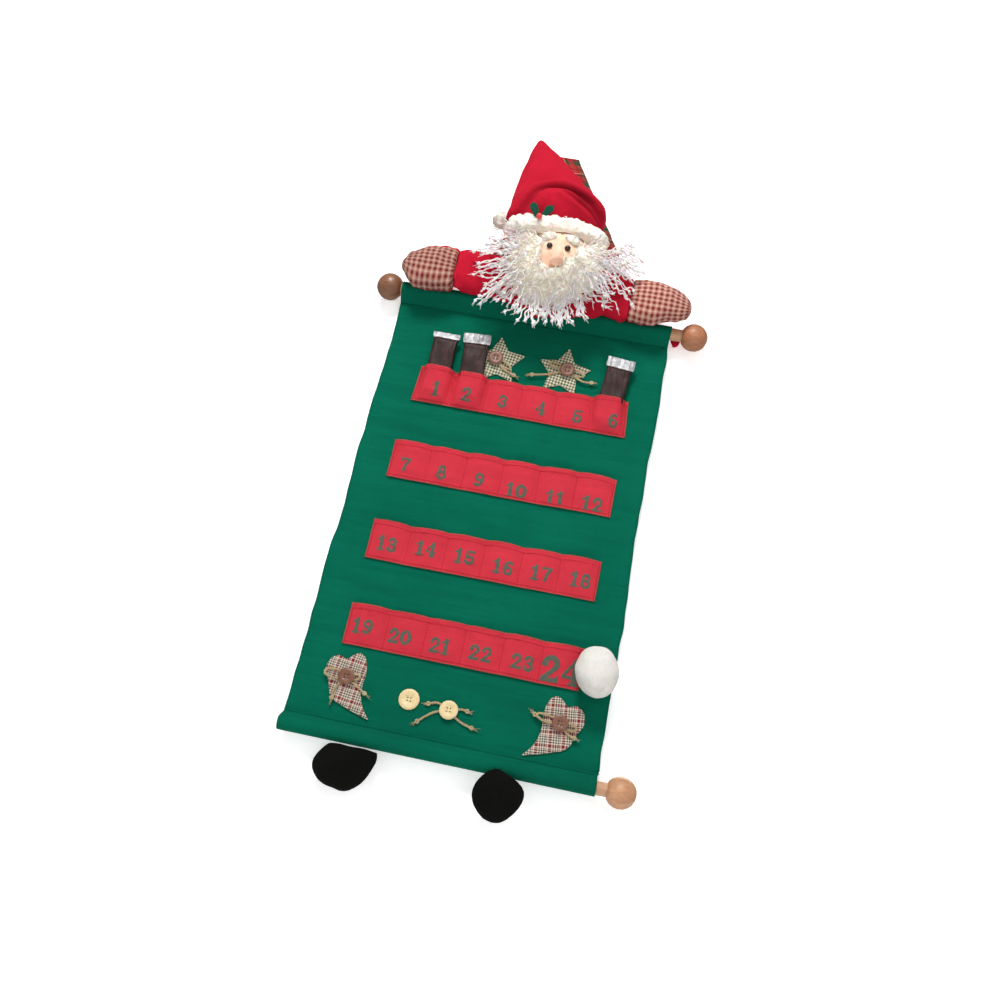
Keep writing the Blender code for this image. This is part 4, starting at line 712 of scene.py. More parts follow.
GREEN = cloth("green_cotton", (0.0008, 0.142, 0.082), 0.0007, shade=0.80, light=1.25, crease=0.0006,
              broad=0.09, sheen=0.03, pull=(0.16, 1, 1.2))
RED = cloth("red_cotton", (0.67, 0.040, 0.062), 0.0006, kind="UV", shade=0.84, light=1.15, crease=0.0007,
            slub=(0.3, 1.4, 1), broad=0.03, sheen=0.15)
FOLD_RED = cloth("folded_red_edge", (0.56, 0.085, 0.075), 0.0006, shade=0.8, crease=0.0003, sheen=0.1)
STITCH_RED = cloth("red_thread", (0.46, 0.020, 0.034), 0.0003, crease=0.0001, sheen=0.1)
STITCH_GREEN = cloth("green_thread", (0.001, 0.055, 0.032), 0.0003, crease=0.0001, sheen=0.1)
FLANNEL = {"shade": 0.78, "light": 1.2, "crease": 0.0007, "nap": 0.0002, "sheen": 0.2, "broad": 0.05}
CRIMSON = cloth("crimson_flannel", (0.58, 0.012, 0.034), 0.0007, **FLANNEL)
# The hat's flannel takes painted shade under its folds' crests from a point attribute.
HAT_CRIMSON = cloth("hat_flannel", (0.58, 0.012, 0.034), 0.0007, fold="painted_fold_shade", **FLANNEL)
INK = ink_finish()
TARTAN = ribbon_finish()
SKIN = skin_finish()
# Fleece, beard wool, curls and yarn glow weakly in their own colour by their through value, a painted glow
# that lifts their shade; the plush doesn't glow.
FLEECE = woolly("cream_fleece", (0.88, 0.84, 0.77), (0.76, 0.70, 0.61), 0.0020, 0.0009, through=0.03)
WOOL = woolly("beard_wool", (0.98, 0.93, 0.83), (0.93, 0.86, 0.74), 0.0024, 0.0007, through=0.10)
CURL = fibre("wool_curl", (0.96, 0.88, 0.77), (0.92, 0.82, 0.70), 0.004, through=0.10)
YARN = fibre("white_yarn", (0.95, 0.88, 0.87), (0.88, 0.77, 0.76), 0.0022, (0.98, 0.93, 0.92), 0.08)
TWINE = fibre("jute_twine", (0.78, 0.62, 0.38), (0.40, 0.26, 0.12), 0.0012, (0.90, 0.80, 0.60))
PLAID_CREAM, PLAID_ROSE = (0.84, 0.60, 0.46), (0.66, 0.28, 0.21)
MITTEN_STRIPES = ((0.0, PLAID_CREAM), (0.10, PLAID_ROSE), (0.30, (0.30, 0.04, 0.04)),
                  (0.42, (0.17, 0.016, 0.02)), (0.60, (0.34, 0.05, 0.05)), (0.72, PLAID_ROSE),
                  (0.90, PLAID_CREAM))
PLAID = checked("mitten_plaid", 0.0058, MITTEN_STRIPES, MITTEN_STRIPES, 0.0006, 0.5)
# The left mitten's plaid is the same plaid 0.8 times as dark: painted shade.
SHADED_MITTEN_STRIPES = tuple((place, darker(colour, 0.8)) for place, colour in MITTEN_STRIPES)
SHADED_MITTEN_PLAID = checked("mitten_plaid_painted_shade", 0.0058, SHADED_MITTEN_STRIPES, SHADED_MITTEN_STRIPES, 0.0006, 0.5)
HEART_CREAM, BURGUNDY, NEAR_BLACK = (0.86, 0.76, 0.62), (0.27, 0.02, 0.035), (0.03, 0.035, 0.025)
HEART_STRIPES = ((0.0, HEART_CREAM), (0.07, BURGUNDY), (0.29, HEART_CREAM), (0.39, NEAR_BLACK),
                 (0.48, HEART_CREAM), (0.57, NEAR_BLACK), (0.66, HEART_CREAM), (0.75, NEAR_BLACK),
                 (0.84, HEART_CREAM), (0.90, BURGUNDY), (0.95, HEART_CREAM))
HEART = checked("heart_plaid", 0.0122, HEART_STRIPES, HEART_STRIPES, 0.0005, 0.5)
STAR_STRIPES = ((0.0, (0.86, 0.80, 0.58)), (0.46, (0.045, 0.075, 0.03)), (0.95, (0.86, 0.80, 0.58)))
STAR = checked("star_check", 0.0031, STAR_STRIPES, STAR_STRIPES, 0.0005, 0.5)
BLACK_FELT = cloth("black_felt", (0.0050, 0.0050, 0.0042), 0.0008, shade=0.6, light=2.4, crease=0.0003,
                   nap=0.0003, sheen=0.05, broad=0.03)
GREEN_FELT = cloth("green_felt", (0.012, 0.085, 0.05), 0.0008, shade=0.7, light=1.5, crease=0.0004,
                   nap=0.0003)
EDGE_CREAM = cloth("cream_backing", (0.82, 0.72, 0.55), 0.0006, shade=0.85, crease=0.0002)
PLUSH = woolly("white_plush", (0.72, 0.70, 0.66), (0.65, 0.63, 0.585), 0.0035, 0.00015, 0.1, 0.0)
WRAPPER = wrapper_finish("brown_wrapper", (0.018, 0.0050, 0.0040), (0.045, 0.015, 0.012), 0.42, 0.0, 0.006,
                         0.0)
FOIL = wrapper_finish("silver_foil", (0.24, 0.24, 0.245), (0.56, 0.56, 0.57), 0.36, 0.75, 0.003, 0.0)
BEAD = glossy("black_bead", (0.005, 0.003, 0.0025), 0.10, (0.02, 0.008, 0.005), 0.1)
BERRY = glossy("red_bead", (0.62, 0.03, 0.03), 0.35, (0.75, 0.06, 0.05), 0.2)
BROWN_BUTTON = button_finish("brown_button", (0.20, 0.078, 0.038), (0.12, 0.042, 0.021), (0.25, 0.11, 0.062))
CREAM_BUTTON = button_finish("cream_button", (0.76, 0.61, 0.33), (0.70, 0.54, 0.27), (0.66, 0.48, 0.24))
HOOK_TAPE = cloth("hook_tape", (0.80, 0.79, 0.77), 0.0012, shade=0.9, crease=0.0001)

# Wood, beads and buttons keep the CAD solids' shapes
SHOWN_SOLIDS = (
    ("top_rod", wood("rod_wood", (0.60, 0.35, 0.19), (0.45, 0.23, 0.11))),
    ("bottom_rod", wood("lower_rod_wood", (0.60, 0.34, 0.19), (0.48, 0.25, 0.13))),
    ("marker_dot", HOOK_TAPE),
)
BALLS = (
    ("top_ball_left", "top_rod",
     wood("left_ball_wood", (0.25, 0.105, 0.048), (0.155, 0.056, 0.024), gloss=0.36)),
    ("top_ball_right", "top_rod", wood("right_ball_wood", (0.46, 0.185, 0.083), (0.33, 0.115, 0.048))),
    ("bottom_ball_right", "bottom_rod", wood("lower_ball_wood", (0.62, 0.34, 0.175), (0.48, 0.215, 0.10))),
)
for node_name, node_finish in SHOWN_SOLIDS:
    node_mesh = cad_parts[node_name].data
    node_mesh.materials.clear()
    node_mesh.materials.append(node_finish)


def smooth_piece(node, finish, body="calendar"):
    """A turned or moulded CAD solid with even, smooth surfaces instead of facets."""
    mesh = bpy.data.meshes.new(f"smooth_{node}")
    weld(mesh, 0.00001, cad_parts[node].data)
    piece = bpy.data.objects.new(f"smooth_{node}", mesh)
    scene.collection.objects.link(piece)
    mesh.materials.clear()
    mesh.materials.append(finish)
    mesh.shade_smooth()
    mesh.set_sharp_from_angle(angle=math.radians(40))
    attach(piece, body)
    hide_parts(node)


for ball_name, ball_body, ball_finish in BALLS:
    smooth_piece(ball_name, ball_finish, ball_body)
for eye_name in ("doll_eye_left", "doll_eye_right"):
    smooth_piece(eye_name, BEAD)
smooth_piece("holly_berry", BERRY)
for button_name in ("star_left_button", "star_right_button", "heart_left_button", "heart_right_button"):
    smooth_piece(button_name, BROWN_BUTTON)
for button_name in ("plain_button", "tied_button"):
    smooth_piece(button_name, CREAM_BUTTON)

# Banner
CLOTH = 0.0012
BANNER_HEIGHT = 0.4815
HALF_TOP, HALF_BOTTOM = 0.142, 0.1455
TOP_SEAM, BOTTOM_SEAM = -0.028, -BANNER_HEIGHT + 0.0205
ROD_RADIUS = 0.00635
ROD_SLACK = 0.00045
SLEEVE_RADIUS = ROD_RADIUS + ROD_SLACK + CLOTH / 2
ROD_Y = -(CLOTH + ROD_SLACK + ROD_RADIUS)
TOP_ROD_Z = -0.0133
BOTTOM_ROD_Z = -BANNER_HEIGHT + ROD_RADIUS + ROD_SLACK + CLOTH
MIDDLE_Y = -CLOTH / 2


def half_width(z):
    return HALF_TOP + (HALF_BOTTOM - HALF_TOP) * np.clip(-z / BANNER_HEIGHT, 0, 1)


def edge_wave(side, z):
    """How far the banner's side edge wanders in and out."""
    line = np.stack([np.full_like(z, side), z, np.zeros_like(z)], 1)
    return 0.0011 * ripple(line, 0.13, 5) + 0.0004 * ripple(line, 0.035, 6)


def banner_path():
    """The cloth's middle, from the sleeve's sewn edge over the top rod, down and up round the lower rod."""
    lap = -1.5 * CLOTH
    route = [(lap, z) for z in np.linspace(TOP_SEAM - 0.0005, TOP_SEAM + 0.002, 4)]
    turns = np.linspace(math.radians(203), math.radians(52), 20)
    route += [(ROD_Y + SLEEVE_RADIUS * math.cos(turn),
               TOP_ROD_Z + SLEEVE_RADIUS * math.sin(turn)) for turn in turns]
    route += [(-0.0011, -0.0017), (MIDDLE_Y, -0.0006)]
    route += [(MIDDLE_Y, z) for z in np.linspace(-0.003, BOTTOM_ROD_Z + 0.002, 122)]
    turns = np.linspace(0, math.radians(-204), 26)
    route += [(ROD_Y + SLEEVE_RADIUS * math.cos(turn),
               BOTTOM_ROD_Z + SLEEVE_RADIUS * math.sin(turn)) for turn in turns]
    route += [(lap, z) for z in np.linspace(BOTTOM_SEAM - 0.0025, BOTTOM_SEAM + 0.0005, 4)]
    return np.array(route)


def banner_creases(spots):
    """Creases drawn sideways through the free cloth: the margins and the bands between the rows."""
    x, z = np.abs(spots[:, 0]), spots[:, 2]
    margin = step_up(0.121, 0.134, x)
    band = np.zeros(len(spots))
    for middle in (-0.158, -0.2436, -0.3294):
        band = np.maximum(band, 1 - step_up(0.013, 0.021, np.abs(z - middle)))
    low = step_up(-0.44, -0.40, z)
    free = np.maximum(margin, band) * low
    ridge = 1 - np.abs(ripple(spots, 0.050, 14, (0.28, 0, 1.25)))
    broad = ripple(spots, 0.11, 15, (0.6, 0, 1))
    return free * (0.0009 * np.clip(ridge, -0.3, 1) + 0.0008 * broad)


def make_banner():
    points = [Vector((0, y, z)) for y, z in banner_path()]
    path = spline(points, 0.0028)[:, 1:]
    shares = np.linspace(-1, 1, 85)
    run = np.concatenate([[0], np.cumsum(np.linalg.norm(np.diff(path, axis=0), axis=1))])
    rows, maps = [], []
    for (y, z), length in zip(path, run):
        edges = edge_wave(-1.0, np.array([z]))[0], edge_wave(1.0, np.array([z]))[0]
        half = float(half_width(z))
        x = shares * half + np.where(shares < 0, -edges[0] * step_up(0.5, 1, -shares),
                                     edges[1] * step_up(0.5, 1, shares))
        if z < BOTTOM_SEAM or z > TOP_SEAM:
            x = np.clip(x, -half - 0.0006, half - 0.0002)
        rows.append(np.stack([x, np.full_like(x, y), np.full_like(x, z)], 1))
        maps.append(np.stack([x, np.full_like(x, length)], 1))
    spots = np.vstack(rows)
    on_sleeve = spots[:, 1] < -0.0025
    upper = spots[:, 2] > -0.1
    pull = ripple(spots, 0.016, 11, (0.35, 1, 1)) * 0.5 + ripple(spots, 0.05, 12, (0.5, 1, 1)) * 0.5
    loose_top = on_sleeve & upper
    share = step_up(-0.012, -0.022, spots[:, 2]) * loose_top
    spots[:, 1] -= np.clip(pull + 0.55, 0, 2) * 0.0011 * share
    low = on_sleeve & ~upper
    free = step_up(BOTTOM_ROD_Z + 0.004, BOTTOM_ROD_Z + 0.009, spots[:, 2]) * low
    spots[:, 1] -= np.clip(pull + 0.4, 0, 2) * 0.0007 * free
    panel = (~on_sleeve) & (spots[:, 2] < -0.034) & (spots[:, 2] > BOTTOM_SEAM - 0.002)
    spots[:, 1] += panel * 0.00035 * np.clip(ripple(spots, 0.06, 13), 0, 2)
    spots[:, 1] -= panel * banner_creases(spots)
    spots[:, 2] += TOP
    banner = new_piece("banner_cloth", spots, grid_faces(len(path), len(shares)), GREEN,
                       uv=np.vstack(maps))
    thicken(banner, CLOTH * 0.92)
    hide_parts("banner")


STITCH_LENGTH, STITCH_GAP, STITCH_RADIUS = 0.0022, 0.0011, 0.00028


def stitches(name, lines, material, slot):
    """Rows of short stitches. Each line is a function from a share to a place, and its length."""
    tubes = Tubes()
    for place, total in lines:
        for index in range(int(total / (STITCH_LENGTH + STITCH_GAP))):
            start = (index * (STITCH_LENGTH + STITCH_GAP)) / total
            path = np.array([place(start + share * STITCH_LENGTH / total) for share in (0, 0.2, 0.8, 1)])
            path[0, 1] += STITCH_RADIUS
            path[-1, 1] += STITCH_RADIUS
            tubes.add(path, STITCH_RADIUS, 5)
    tubes.piece(name, material, slot)


make_banner()


def seam_line(z, y):
    half = float(half_width(z)) - 0.001

    def place(share):
        return (-half + 2 * half * share, y, TOP + z)

    return place, 2 * half


stitches("banner_stitching",
         [seam_line(TOP_SEAM + 0.0012, -0.00255), seam_line(BOTTOM_SEAM - 0.0016, -0.00245)],
         STITCH_GREEN, "green_cloth")

# Pocket rows and numbers
ROWS, POCKETS = 4, 6
ROW_LEFT, ROW_RIGHT = -0.1095, 0.1145
ROW_HEIGHT = 0.0392
FIRST_ROW = -0.0954
ROW_PITCH = (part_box("pocket_row_1")[1].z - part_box("pocket_row_4")[1].z) / (ROWS - 1)
PANEL = -CLOTH
GAP = 0.0003
STRIP_BACK = PANEL - GAP
STRIP_CLOTH = 0.001
SEAM_WIDTH = 0.003
TOP_ROW_INSET, MOUTH_SAG, MOUTH_INSET = 0.0045, 0.0022, 0.0026
STITCH_LIFT = 0.00012
FULL = (0, 1, 5)
EMPTY_DEPTH, FULL_DEPTH = 0.0034, 0.0102


def row_left(row):
    return ROW_LEFT + (TOP_ROW_INSET if row == 0 else 0)


def pocket_place(row, pocket):
    pitch = (ROW_RIGHT - row_left(row) - SEAM_WIDTH) / POCKETS
    return row_left(row) + SEAM_WIDTH / 2 + pitch * (pocket + 0.5), (pitch - SEAM_WIDTH) / 2


def strip_front(row, x, share):
    """Y of the strip's outer face, at an x before it is drawn in and a share of its height."""
    x, share = np.asarray(x, float), np.asarray(share, float)
    depth = np.zeros_like(x)
    for pocket in range(POCKETS):
        middle, half = pocket_place(row, pocket)
        offset = np.clip(np.abs(x - middle) / half, 0, 1)
        full = row == 0 and pocket in FULL
        bow = 1 - offset ** (4.2 if full else 3.2)
        steep = 4.4 if full else 5.4
        level = 1 - (1 - np.clip(share, 0, 1)) ** steep
        size = FULL_DEPTH if full else EMPTY_DEPTH
        depth += np.where(offset < 1, size * bow * level, 0)
    spots = np.stack([x, np.full_like(x, 0.3 * row), share * ROW_HEIGHT], 1)
    crease = 0.00030 * ripple(spots, 0.011, 31 + row, (1, 1, 1.6)) + 0.00018 * ripple(spots, 0.005, 41 + row)
    live = np.clip(depth / EMPTY_DEPTH, 0.12, 1)
    return STRIP_BACK - STRIP_CLOTH - depth - crease * live


def strip_place(row, x, share):
    """Where a point of the strip lies in X and Z."""
    middle = (row_left(row) + ROW_RIGHT) / 2
    half = (ROW_RIGHT - row_left(row)) / 2
    offset = (np.asarray(x, float) - middle) / half
    foot = FIRST_ROW - ROW_PITCH * row - ROW_HEIGHT
    z = foot + ROW_HEIGHT * share
    if row == 0:
        z = z - MOUTH_SAG * share * (1 - offset ** 4)
        x = x - MOUTH_INSET * offset * share
    wave = np.stack([np.asarray(x, float), np.full_like(offset, row * 0.4), np.full_like(offset, 0.1)], 1)
    z = z + 0.0005 * ripple(wave, 0.05, 51 + row) * (0.4 + 0.6 * share)
    return x, z


def make_strip(row):
    edges = [row_left(row)]
    for pocket in range(POCKETS):
        middle, half = pocket_place(row, pocket)
        edges += list(middle + half * np.linspace(-1, 1, 23))
    xs = np.array(edges + [ROW_RIGHT])
    shares = np.concatenate([[0, 0.02, 0.05], np.linspace(0.09, 0.93, 15), [0.97, 1.0]])
    grid_x, grid_share = np.meshgrid(xs, shares, indexing="ij")
    flat_x, flat_share = grid_x.ravel(), grid_share.ravel()
    outer = strip_front(row, flat_x, flat_share)
    hem = hem_rise(flat_share)
    place_x, place_z = strip_place(row, flat_x, flat_share)
    fronts = np.stack([place_x, outer - hem, place_z + TOP], 1)
    backs = np.stack([place_x, outer + STRIP_CLOTH, place_z + TOP], 1)
    backs[:, 1] = np.minimum(backs[:, 1], STRIP_BACK)
    count, high = len(fronts), len(shares)
    outside, faces = [], []
    for column in range(len(xs) - 1):
        for level in range(high - 1):
            face = (column * high + level, (column + 1) * high + level, (column + 1) * high + level + 1,
                    column * high + level + 1)
            outside.append(face)
            faces.append(face)
            faces.append(tuple(count + index for index in reversed(face)))
    faces += wall_faces(outside, count)
    uv = np.stack([flat_x, flat_share * ROW_HEIGHT + row * 0.07], 1)
    strip = new_piece(f"pocket_strip_{row + 1}", np.vstack([fronts, backs]), faces, RED,
                      uv=np.vstack([uv, uv]))
    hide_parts(f"pocket_row_{row + 1}")


def hem_rise(share):
    """How far the folded cloth along the mouth and the foot stands proud."""
    return 0.00035 * (step_up(0.87, 0.885, share) + step_up(0.085, 0.07, share))


def on_strip(row, x, share, lift):
    y = strip_front(row, np.array([x]), np.array([share]))[0]
    hem = float(hem_rise(share))
    place_x, place_z = strip_place(row, np.array([x]), np.array([share]))
    return (float(place_x[0]), float(y) - hem - lift, float(place_z[0]) + TOP)


def make_strip_trim(row):
    """The folded edges and the stitching of one strip."""
    left, right = row_left(row), ROW_RIGHT
    trim = Tubes()
    for share in (0.006, 0.994):
        path = [on_strip(row, x, share, -0.0003) for x in np.linspace(left, right, 150)]
        trim.add(path, 0.00062, 6)
    for x in (left + 0.0003, right - 0.0003):
        trim.add([on_strip(row, x, share, -0.0002) for share in np.linspace(0, 1, 24)], 0.0006, 6)
    trim.piece(f"pocket_edge_{row + 1}", FOLD_RED, "red_cloth")
    width = right - left

    def level(share_up):
        return lambda share: on_strip(row, left + width * share, share_up, STITCH_LIFT)

    def upright(x):
        return lambda share: on_strip(row, x, 0.02 + 0.96 * share, STITCH_LIFT)

    lines = [(level(0.055), width), (level(0.875), width)]
    for x in (left + 0.0016, right - 0.0016):
        lines.append((upright(x), ROW_HEIGHT))
    for pocket in range(1, POCKETS):
        before, half = pocket_place(row, pocket - 1)
        lines.append((upright(before + half + SEAM_WIDTH / 2), ROW_HEIGHT))
    stitches(f"pocket_stitching_{row + 1}", lines, STITCH_RED, "red_cloth")


# A digit is drawn with strokes: each is a line of points and half a width, in shares of the digit's height.
def arc(x, z, across, up, start, end, count=12):
    turns = [math.radians(start + (end - start) * step / count) for step in range(count + 1)]
    return [(x + across * math.cos(turn), z + up * math.sin(turn)) for turn in turns]


DIGITS = {
    "0": [(arc(0.34, 0.5, 0.22, 0.41, 0, 360, 28), 0.085), (arc(0.34, 0.5, 0.25, 0.36, -50, 50), 0.10),
          (arc(0.34, 0.5, 0.25, 0.36, 130, 230), 0.10)],
    "1": [([(0.34, 0.95), (0.34, 0.05)], 0.105), ([(0.10, 0.76), (0.32, 0.93)], 0.055),
          ([(0.12, 0.05), (0.56, 0.05)], 0.05)],
    "2": [(arc(0.34, 0.69, 0.21, 0.24, 165, -35), 0.085), ([(0.52, 0.56), (0.36, 0.36), (0.14, 0.12)], 0.075),
          ([(0.12, 0.08), (0.58, 0.08)], 0.08), ([(0.585, 0.06), (0.60, 0.24)], 0.04),
          ([(0.15, 0.70), (0.16, 0.70)], 0.10)],
    "3": [(arc(0.32, 0.72, 0.19, 0.21, 160, -80), 0.08), (arc(0.32, 0.28, 0.22, 0.23, 80, -160), 0.085),
          ([(0.24, 0.51), (0.36, 0.51)], 0.05), ([(0.145, 0.76), (0.155, 0.76)], 0.095),
          ([(0.125, 0.23), (0.135, 0.23)], 0.10)],
    "4": [([(0.44, 0.95), (0.44, 0.05)], 0.10), ([(0.40, 0.93), (0.07, 0.36)], 0.05),
          ([(0.06, 0.31), (0.62, 0.31)], 0.055),
          ([(0.28, 0.045), (0.60, 0.045)], 0.045)],
    "5": [([(0.17, 0.92), (0.54, 0.92)], 0.075), ([(0.15, 0.92), (0.13, 0.55)], 0.05),
          (arc(0.31, 0.32, 0.23, 0.25, 140, -160, 18), 0.085), ([(0.12, 0.22), (0.13, 0.22)], 0.10)],
    "6": [(arc(0.33, 0.30, 0.205, 0.225, 0, 360, 24), 0.08), (arc(0.47, 0.42, 0.36, 0.50, 100, 185), 0.085),
          ([(0.51, 0.83), (0.52, 0.83)], 0.085)],
    "7": [([(0.10, 0.91), (0.58, 0.91)], 0.08), ([(0.57, 0.88), (0.38, 0.50), (0.30, 0.06)], 0.085),
          ([(0.09, 0.90), (0.08, 0.74)], 0.04)],
    "8": [(arc(0.33, 0.725, 0.18, 0.195, 0, 360, 24), 0.078),
          (arc(0.33, 0.28, 0.215, 0.225, 0, 360, 24), 0.082)],
    "9": [(arc(0.33, 0.70, 0.205, 0.225, 0, 360, 24), 0.08), (arc(0.19, 0.58, 0.36, 0.50, -80, 5), 0.085),
          ([(0.15, 0.17), (0.16, 0.17)], 0.085)],
}
DIGIT_ADVANCE = {"1": 0.62}
DIGIT_WIDTH, DIGIT_WIDEN, DIGIT_BOLD = 0.74, 1.14, 1.22
NUMBER_HEIGHT, LAST_NUMBER_HEIGHT = 0.0138, 0.0245


def number_distance(text, height):
    """Distance to the strokes of a number that is centred on zero."""
    widths = [DIGIT_ADVANCE.get(digit, DIGIT_WIDTH) * DIGIT_WIDEN for digit in text]
    start = -sum(widths) / 2
    strokes = []
    for digit, width in zip(text, widths):
        inset = width / 2 - 0.335 * DIGIT_WIDEN
        for line, half in DIGITS[digit]:
            points = np.array([(start + inset + x * DIGIT_WIDEN, z - 0.5) for x, z in line])
            strokes.append((points * height, half * DIGIT_BOLD * height))
        start += width

    def distance(spots):
        nearest = np.full(len(spots), 1e9)
        for line, half in strokes:
            for one, other in zip(line, line[1:]):
                way = other - one
                share = np.clip(((spots - one) @ way) / max(way @ way, 1e-12), 0, 1)
                nearest = np.minimum(nearest,
                                     np.linalg.norm(spots - one - share[:, None] * way, axis=1) - half)
        rough = np.stack([spots[:, 0], spots[:, 1], np.zeros(len(spots))], 1)
        return nearest + 0.00012 * ripple(rough, 0.0018, len(text) * 7 + int(text))

    return distance


# Where each number is printed: millimetres right of its pocket's middle, and the share of the strip's height.
NUMBER_PLACES = (
    ((3.5, 0.35), (-0.8, 0.35), (0.6, 0.39), (4.0, 0.38), (6.0, 0.34), (6.2, 0.34)),
    ((-3.7, 0.36), (-3.2, 0.335), (-2.0, 0.31), (-1.1, 0.22), (1.0, 0.20), (0.6, 0.22)),
    ((-1.2, 0.41), (-0.1, 0.48), (1.4, 0.46), (2.6, 0.39), (2.6, 0.41), (3.6, 0.43)),
    ((-4.2, 0.46), (-4.9, 0.40), (-3.0, 0.37), (-1.4, 0.39), (1.8, 0.38), (1.2, 0.365)),
)


def make_numbers():
    for row in range(ROWS):
        for pocket in range(POCKETS):
            number = row * POCKETS + pocket + 1
            height = LAST_NUMBER_HEIGHT if number == ROWS * POCKETS else NUMBER_HEIGHT
            shift, share_up = NUMBER_PLACES[row][pocket]
            x = pocket_place(row, pocket)[0] + shift * MM
            reach = DIGIT_WIDTH * DIGIT_WIDEN * len(str(number)) * height / 2 * 1.15 + 0.001
            distance = number_distance(str(number), height)
            high = height / 2 + 0.001
            spots, faces, depth = flat_shape(distance, (-reach, -high), (reach, high), height / 44)
            across = x + spots[:, 0]
            share = share_up + spots[:, 1] / ROW_HEIGHT
            front = strip_front(row, across, share)
            place_x, place_z = strip_place(row, across, share)
            flat = np.stack([place_x, place_z + TOP], 1)
            printed = front - 0.00024 * step_up(-0.0001, 0.0005, depth) - 0.00006
            solid, solid_faces = slab(flat, faces, printed, front + 0.0001)
            new_piece(f"number_{number}", solid, solid_faces, INK)


for strip_row in range(ROWS):
    make_strip(strip_row)
    make_strip_trim(strip_row)
make_numbers()


# Wrapped bars
BAR_LENGTH, BAR_SHOULDER, BAR_CRIMP = 0.0605, 0.004, 0.0095
BAR_SIDE_GAP, BAR_BACK_GAP, BAR_RISE = 0.00424, 0.0012, 0.0055
BAR_HALF_THICKNESS = 0.003
LOW_CRIMP_TOP, HIGH_CRIMP_FOOT = 0.0095, 0.0622


def make_bar(number, pocket, offset_share, lean, crimp_share):
    middle, half_pocket = pocket_place(0, pocket)
    mouth_x = middle + half_pocket * offset_share
    foot_z = FIRST_ROW - ROW_HEIGHT + SEAM_WIDTH + BAR_RISE
    half_width_bar = half_pocket - BAR_SIDE_GAP
    top = BAR_LENGTH + BAR_SHOULDER + BAR_CRIMP * crimp_share
    levels = [0, 0.0075, 0.008, 0.0105, 0.012, 0.014] + list(np.linspace(0.018, 0.057, 14)) \
        + [0.0595, 0.0612, 0.063, 0.0645, 0.065] + list(np.linspace(0.066, top - 0.0003, 4)) + [top]
    sides = 56
    turns = np.arange(sides) * math.tau / sides
    rings = []
    for height in levels:
        low = float(step_up(0.008, 0.013, height))
        high = float(1 - step_up(0.0595, 0.0645, height))
        swell = low * high
        wide = half_width_bar + (0.0020 * (1 - high)) - 0.0006 * (1 - low)
        thick = 0.00042 + 0.00258 * swell
        square = 2 / (3.4 + 2.6 * swell)
        cos, sin = np.cos(turns), np.sin(turns)
        x = wide * np.sign(cos) * np.abs(cos) ** square
        y = thick * np.sign(sin) * np.abs(sin) ** square
        y = y + 0.00022 * np.sin(x * math.tau / 0.0013) * (1 - swell)
        z = np.full(sides, height)
        if height == top:
            z = z + 0.0004 * np.sin(x * math.tau / 0.0016)
        rings.append(np.stack([x, y, z], 1))
    spots = np.vstack(rings)
    near_ends = (np.exp(-((spots[:, 2] - 0.0125) / 0.006) ** 2)
                 + np.exp(-((spots[:, 2] - 0.0585) / 0.006) ** 2))
    pleats = ripple(spots, 0.0042, 60 + number, (1, 0.2, 0.25)) * near_ends * 0.0005
    dents = ripple(spots, 0.013, 70 + number, (1, 0.4, 0.6)) * 0.00028
    front = np.sign(spots[:, 1])
    inside = (spots[:, 2] > 0.009) & (spots[:, 2] < 0.0625)
    spots[:, 1] += front * np.where(inside, -np.abs(pleats) + dents, 0)
    turn = Euler((math.radians(4.0), lean, 0)).to_matrix().to_4x4()
    foot_x = mouth_x - (FIRST_ROW - foot_z) * math.tan(lean)
    place = Matrix.Translation((foot_x, PANEL - BAR_BACK_GAP - BAR_HALF_THICKNESS, foot_z + TOP))
    matrix = np.array(place @ turn)
    world = spots @ matrix[:3, :3].T + matrix[:3, 3]
    faces = ring_faces(len(levels), sides)
    bar = new_piece(f"wrapped_bar_{number}", world, faces, WRAPPER, f"treat_bar_{number}",
                    uv=spots[:, (0, 2)])
    bar.data.materials.append(FOIL)
    for face in bar.data.polygons:
        height = np.mean([spots[index][2] for index in face.vertices])
        if height < LOW_CRIMP_TOP or height > HIGH_CRIMP_FOOT:
            face.material_index = 1
    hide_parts(f"treat_bar_{number}")


for bar_number, (bar_pocket, bar_offset, bar_lean, bar_crimp) in enumerate(
        ((0, 0.1, 0.0, 0.47), (1, -0.026, math.radians(-3.5), 1.0), (5, -0.04, math.radians(5.0), 1.0)),
        start=1):
    make_bar(bar_number, bar_pocket, bar_offset, bar_lean, bar_crimp)


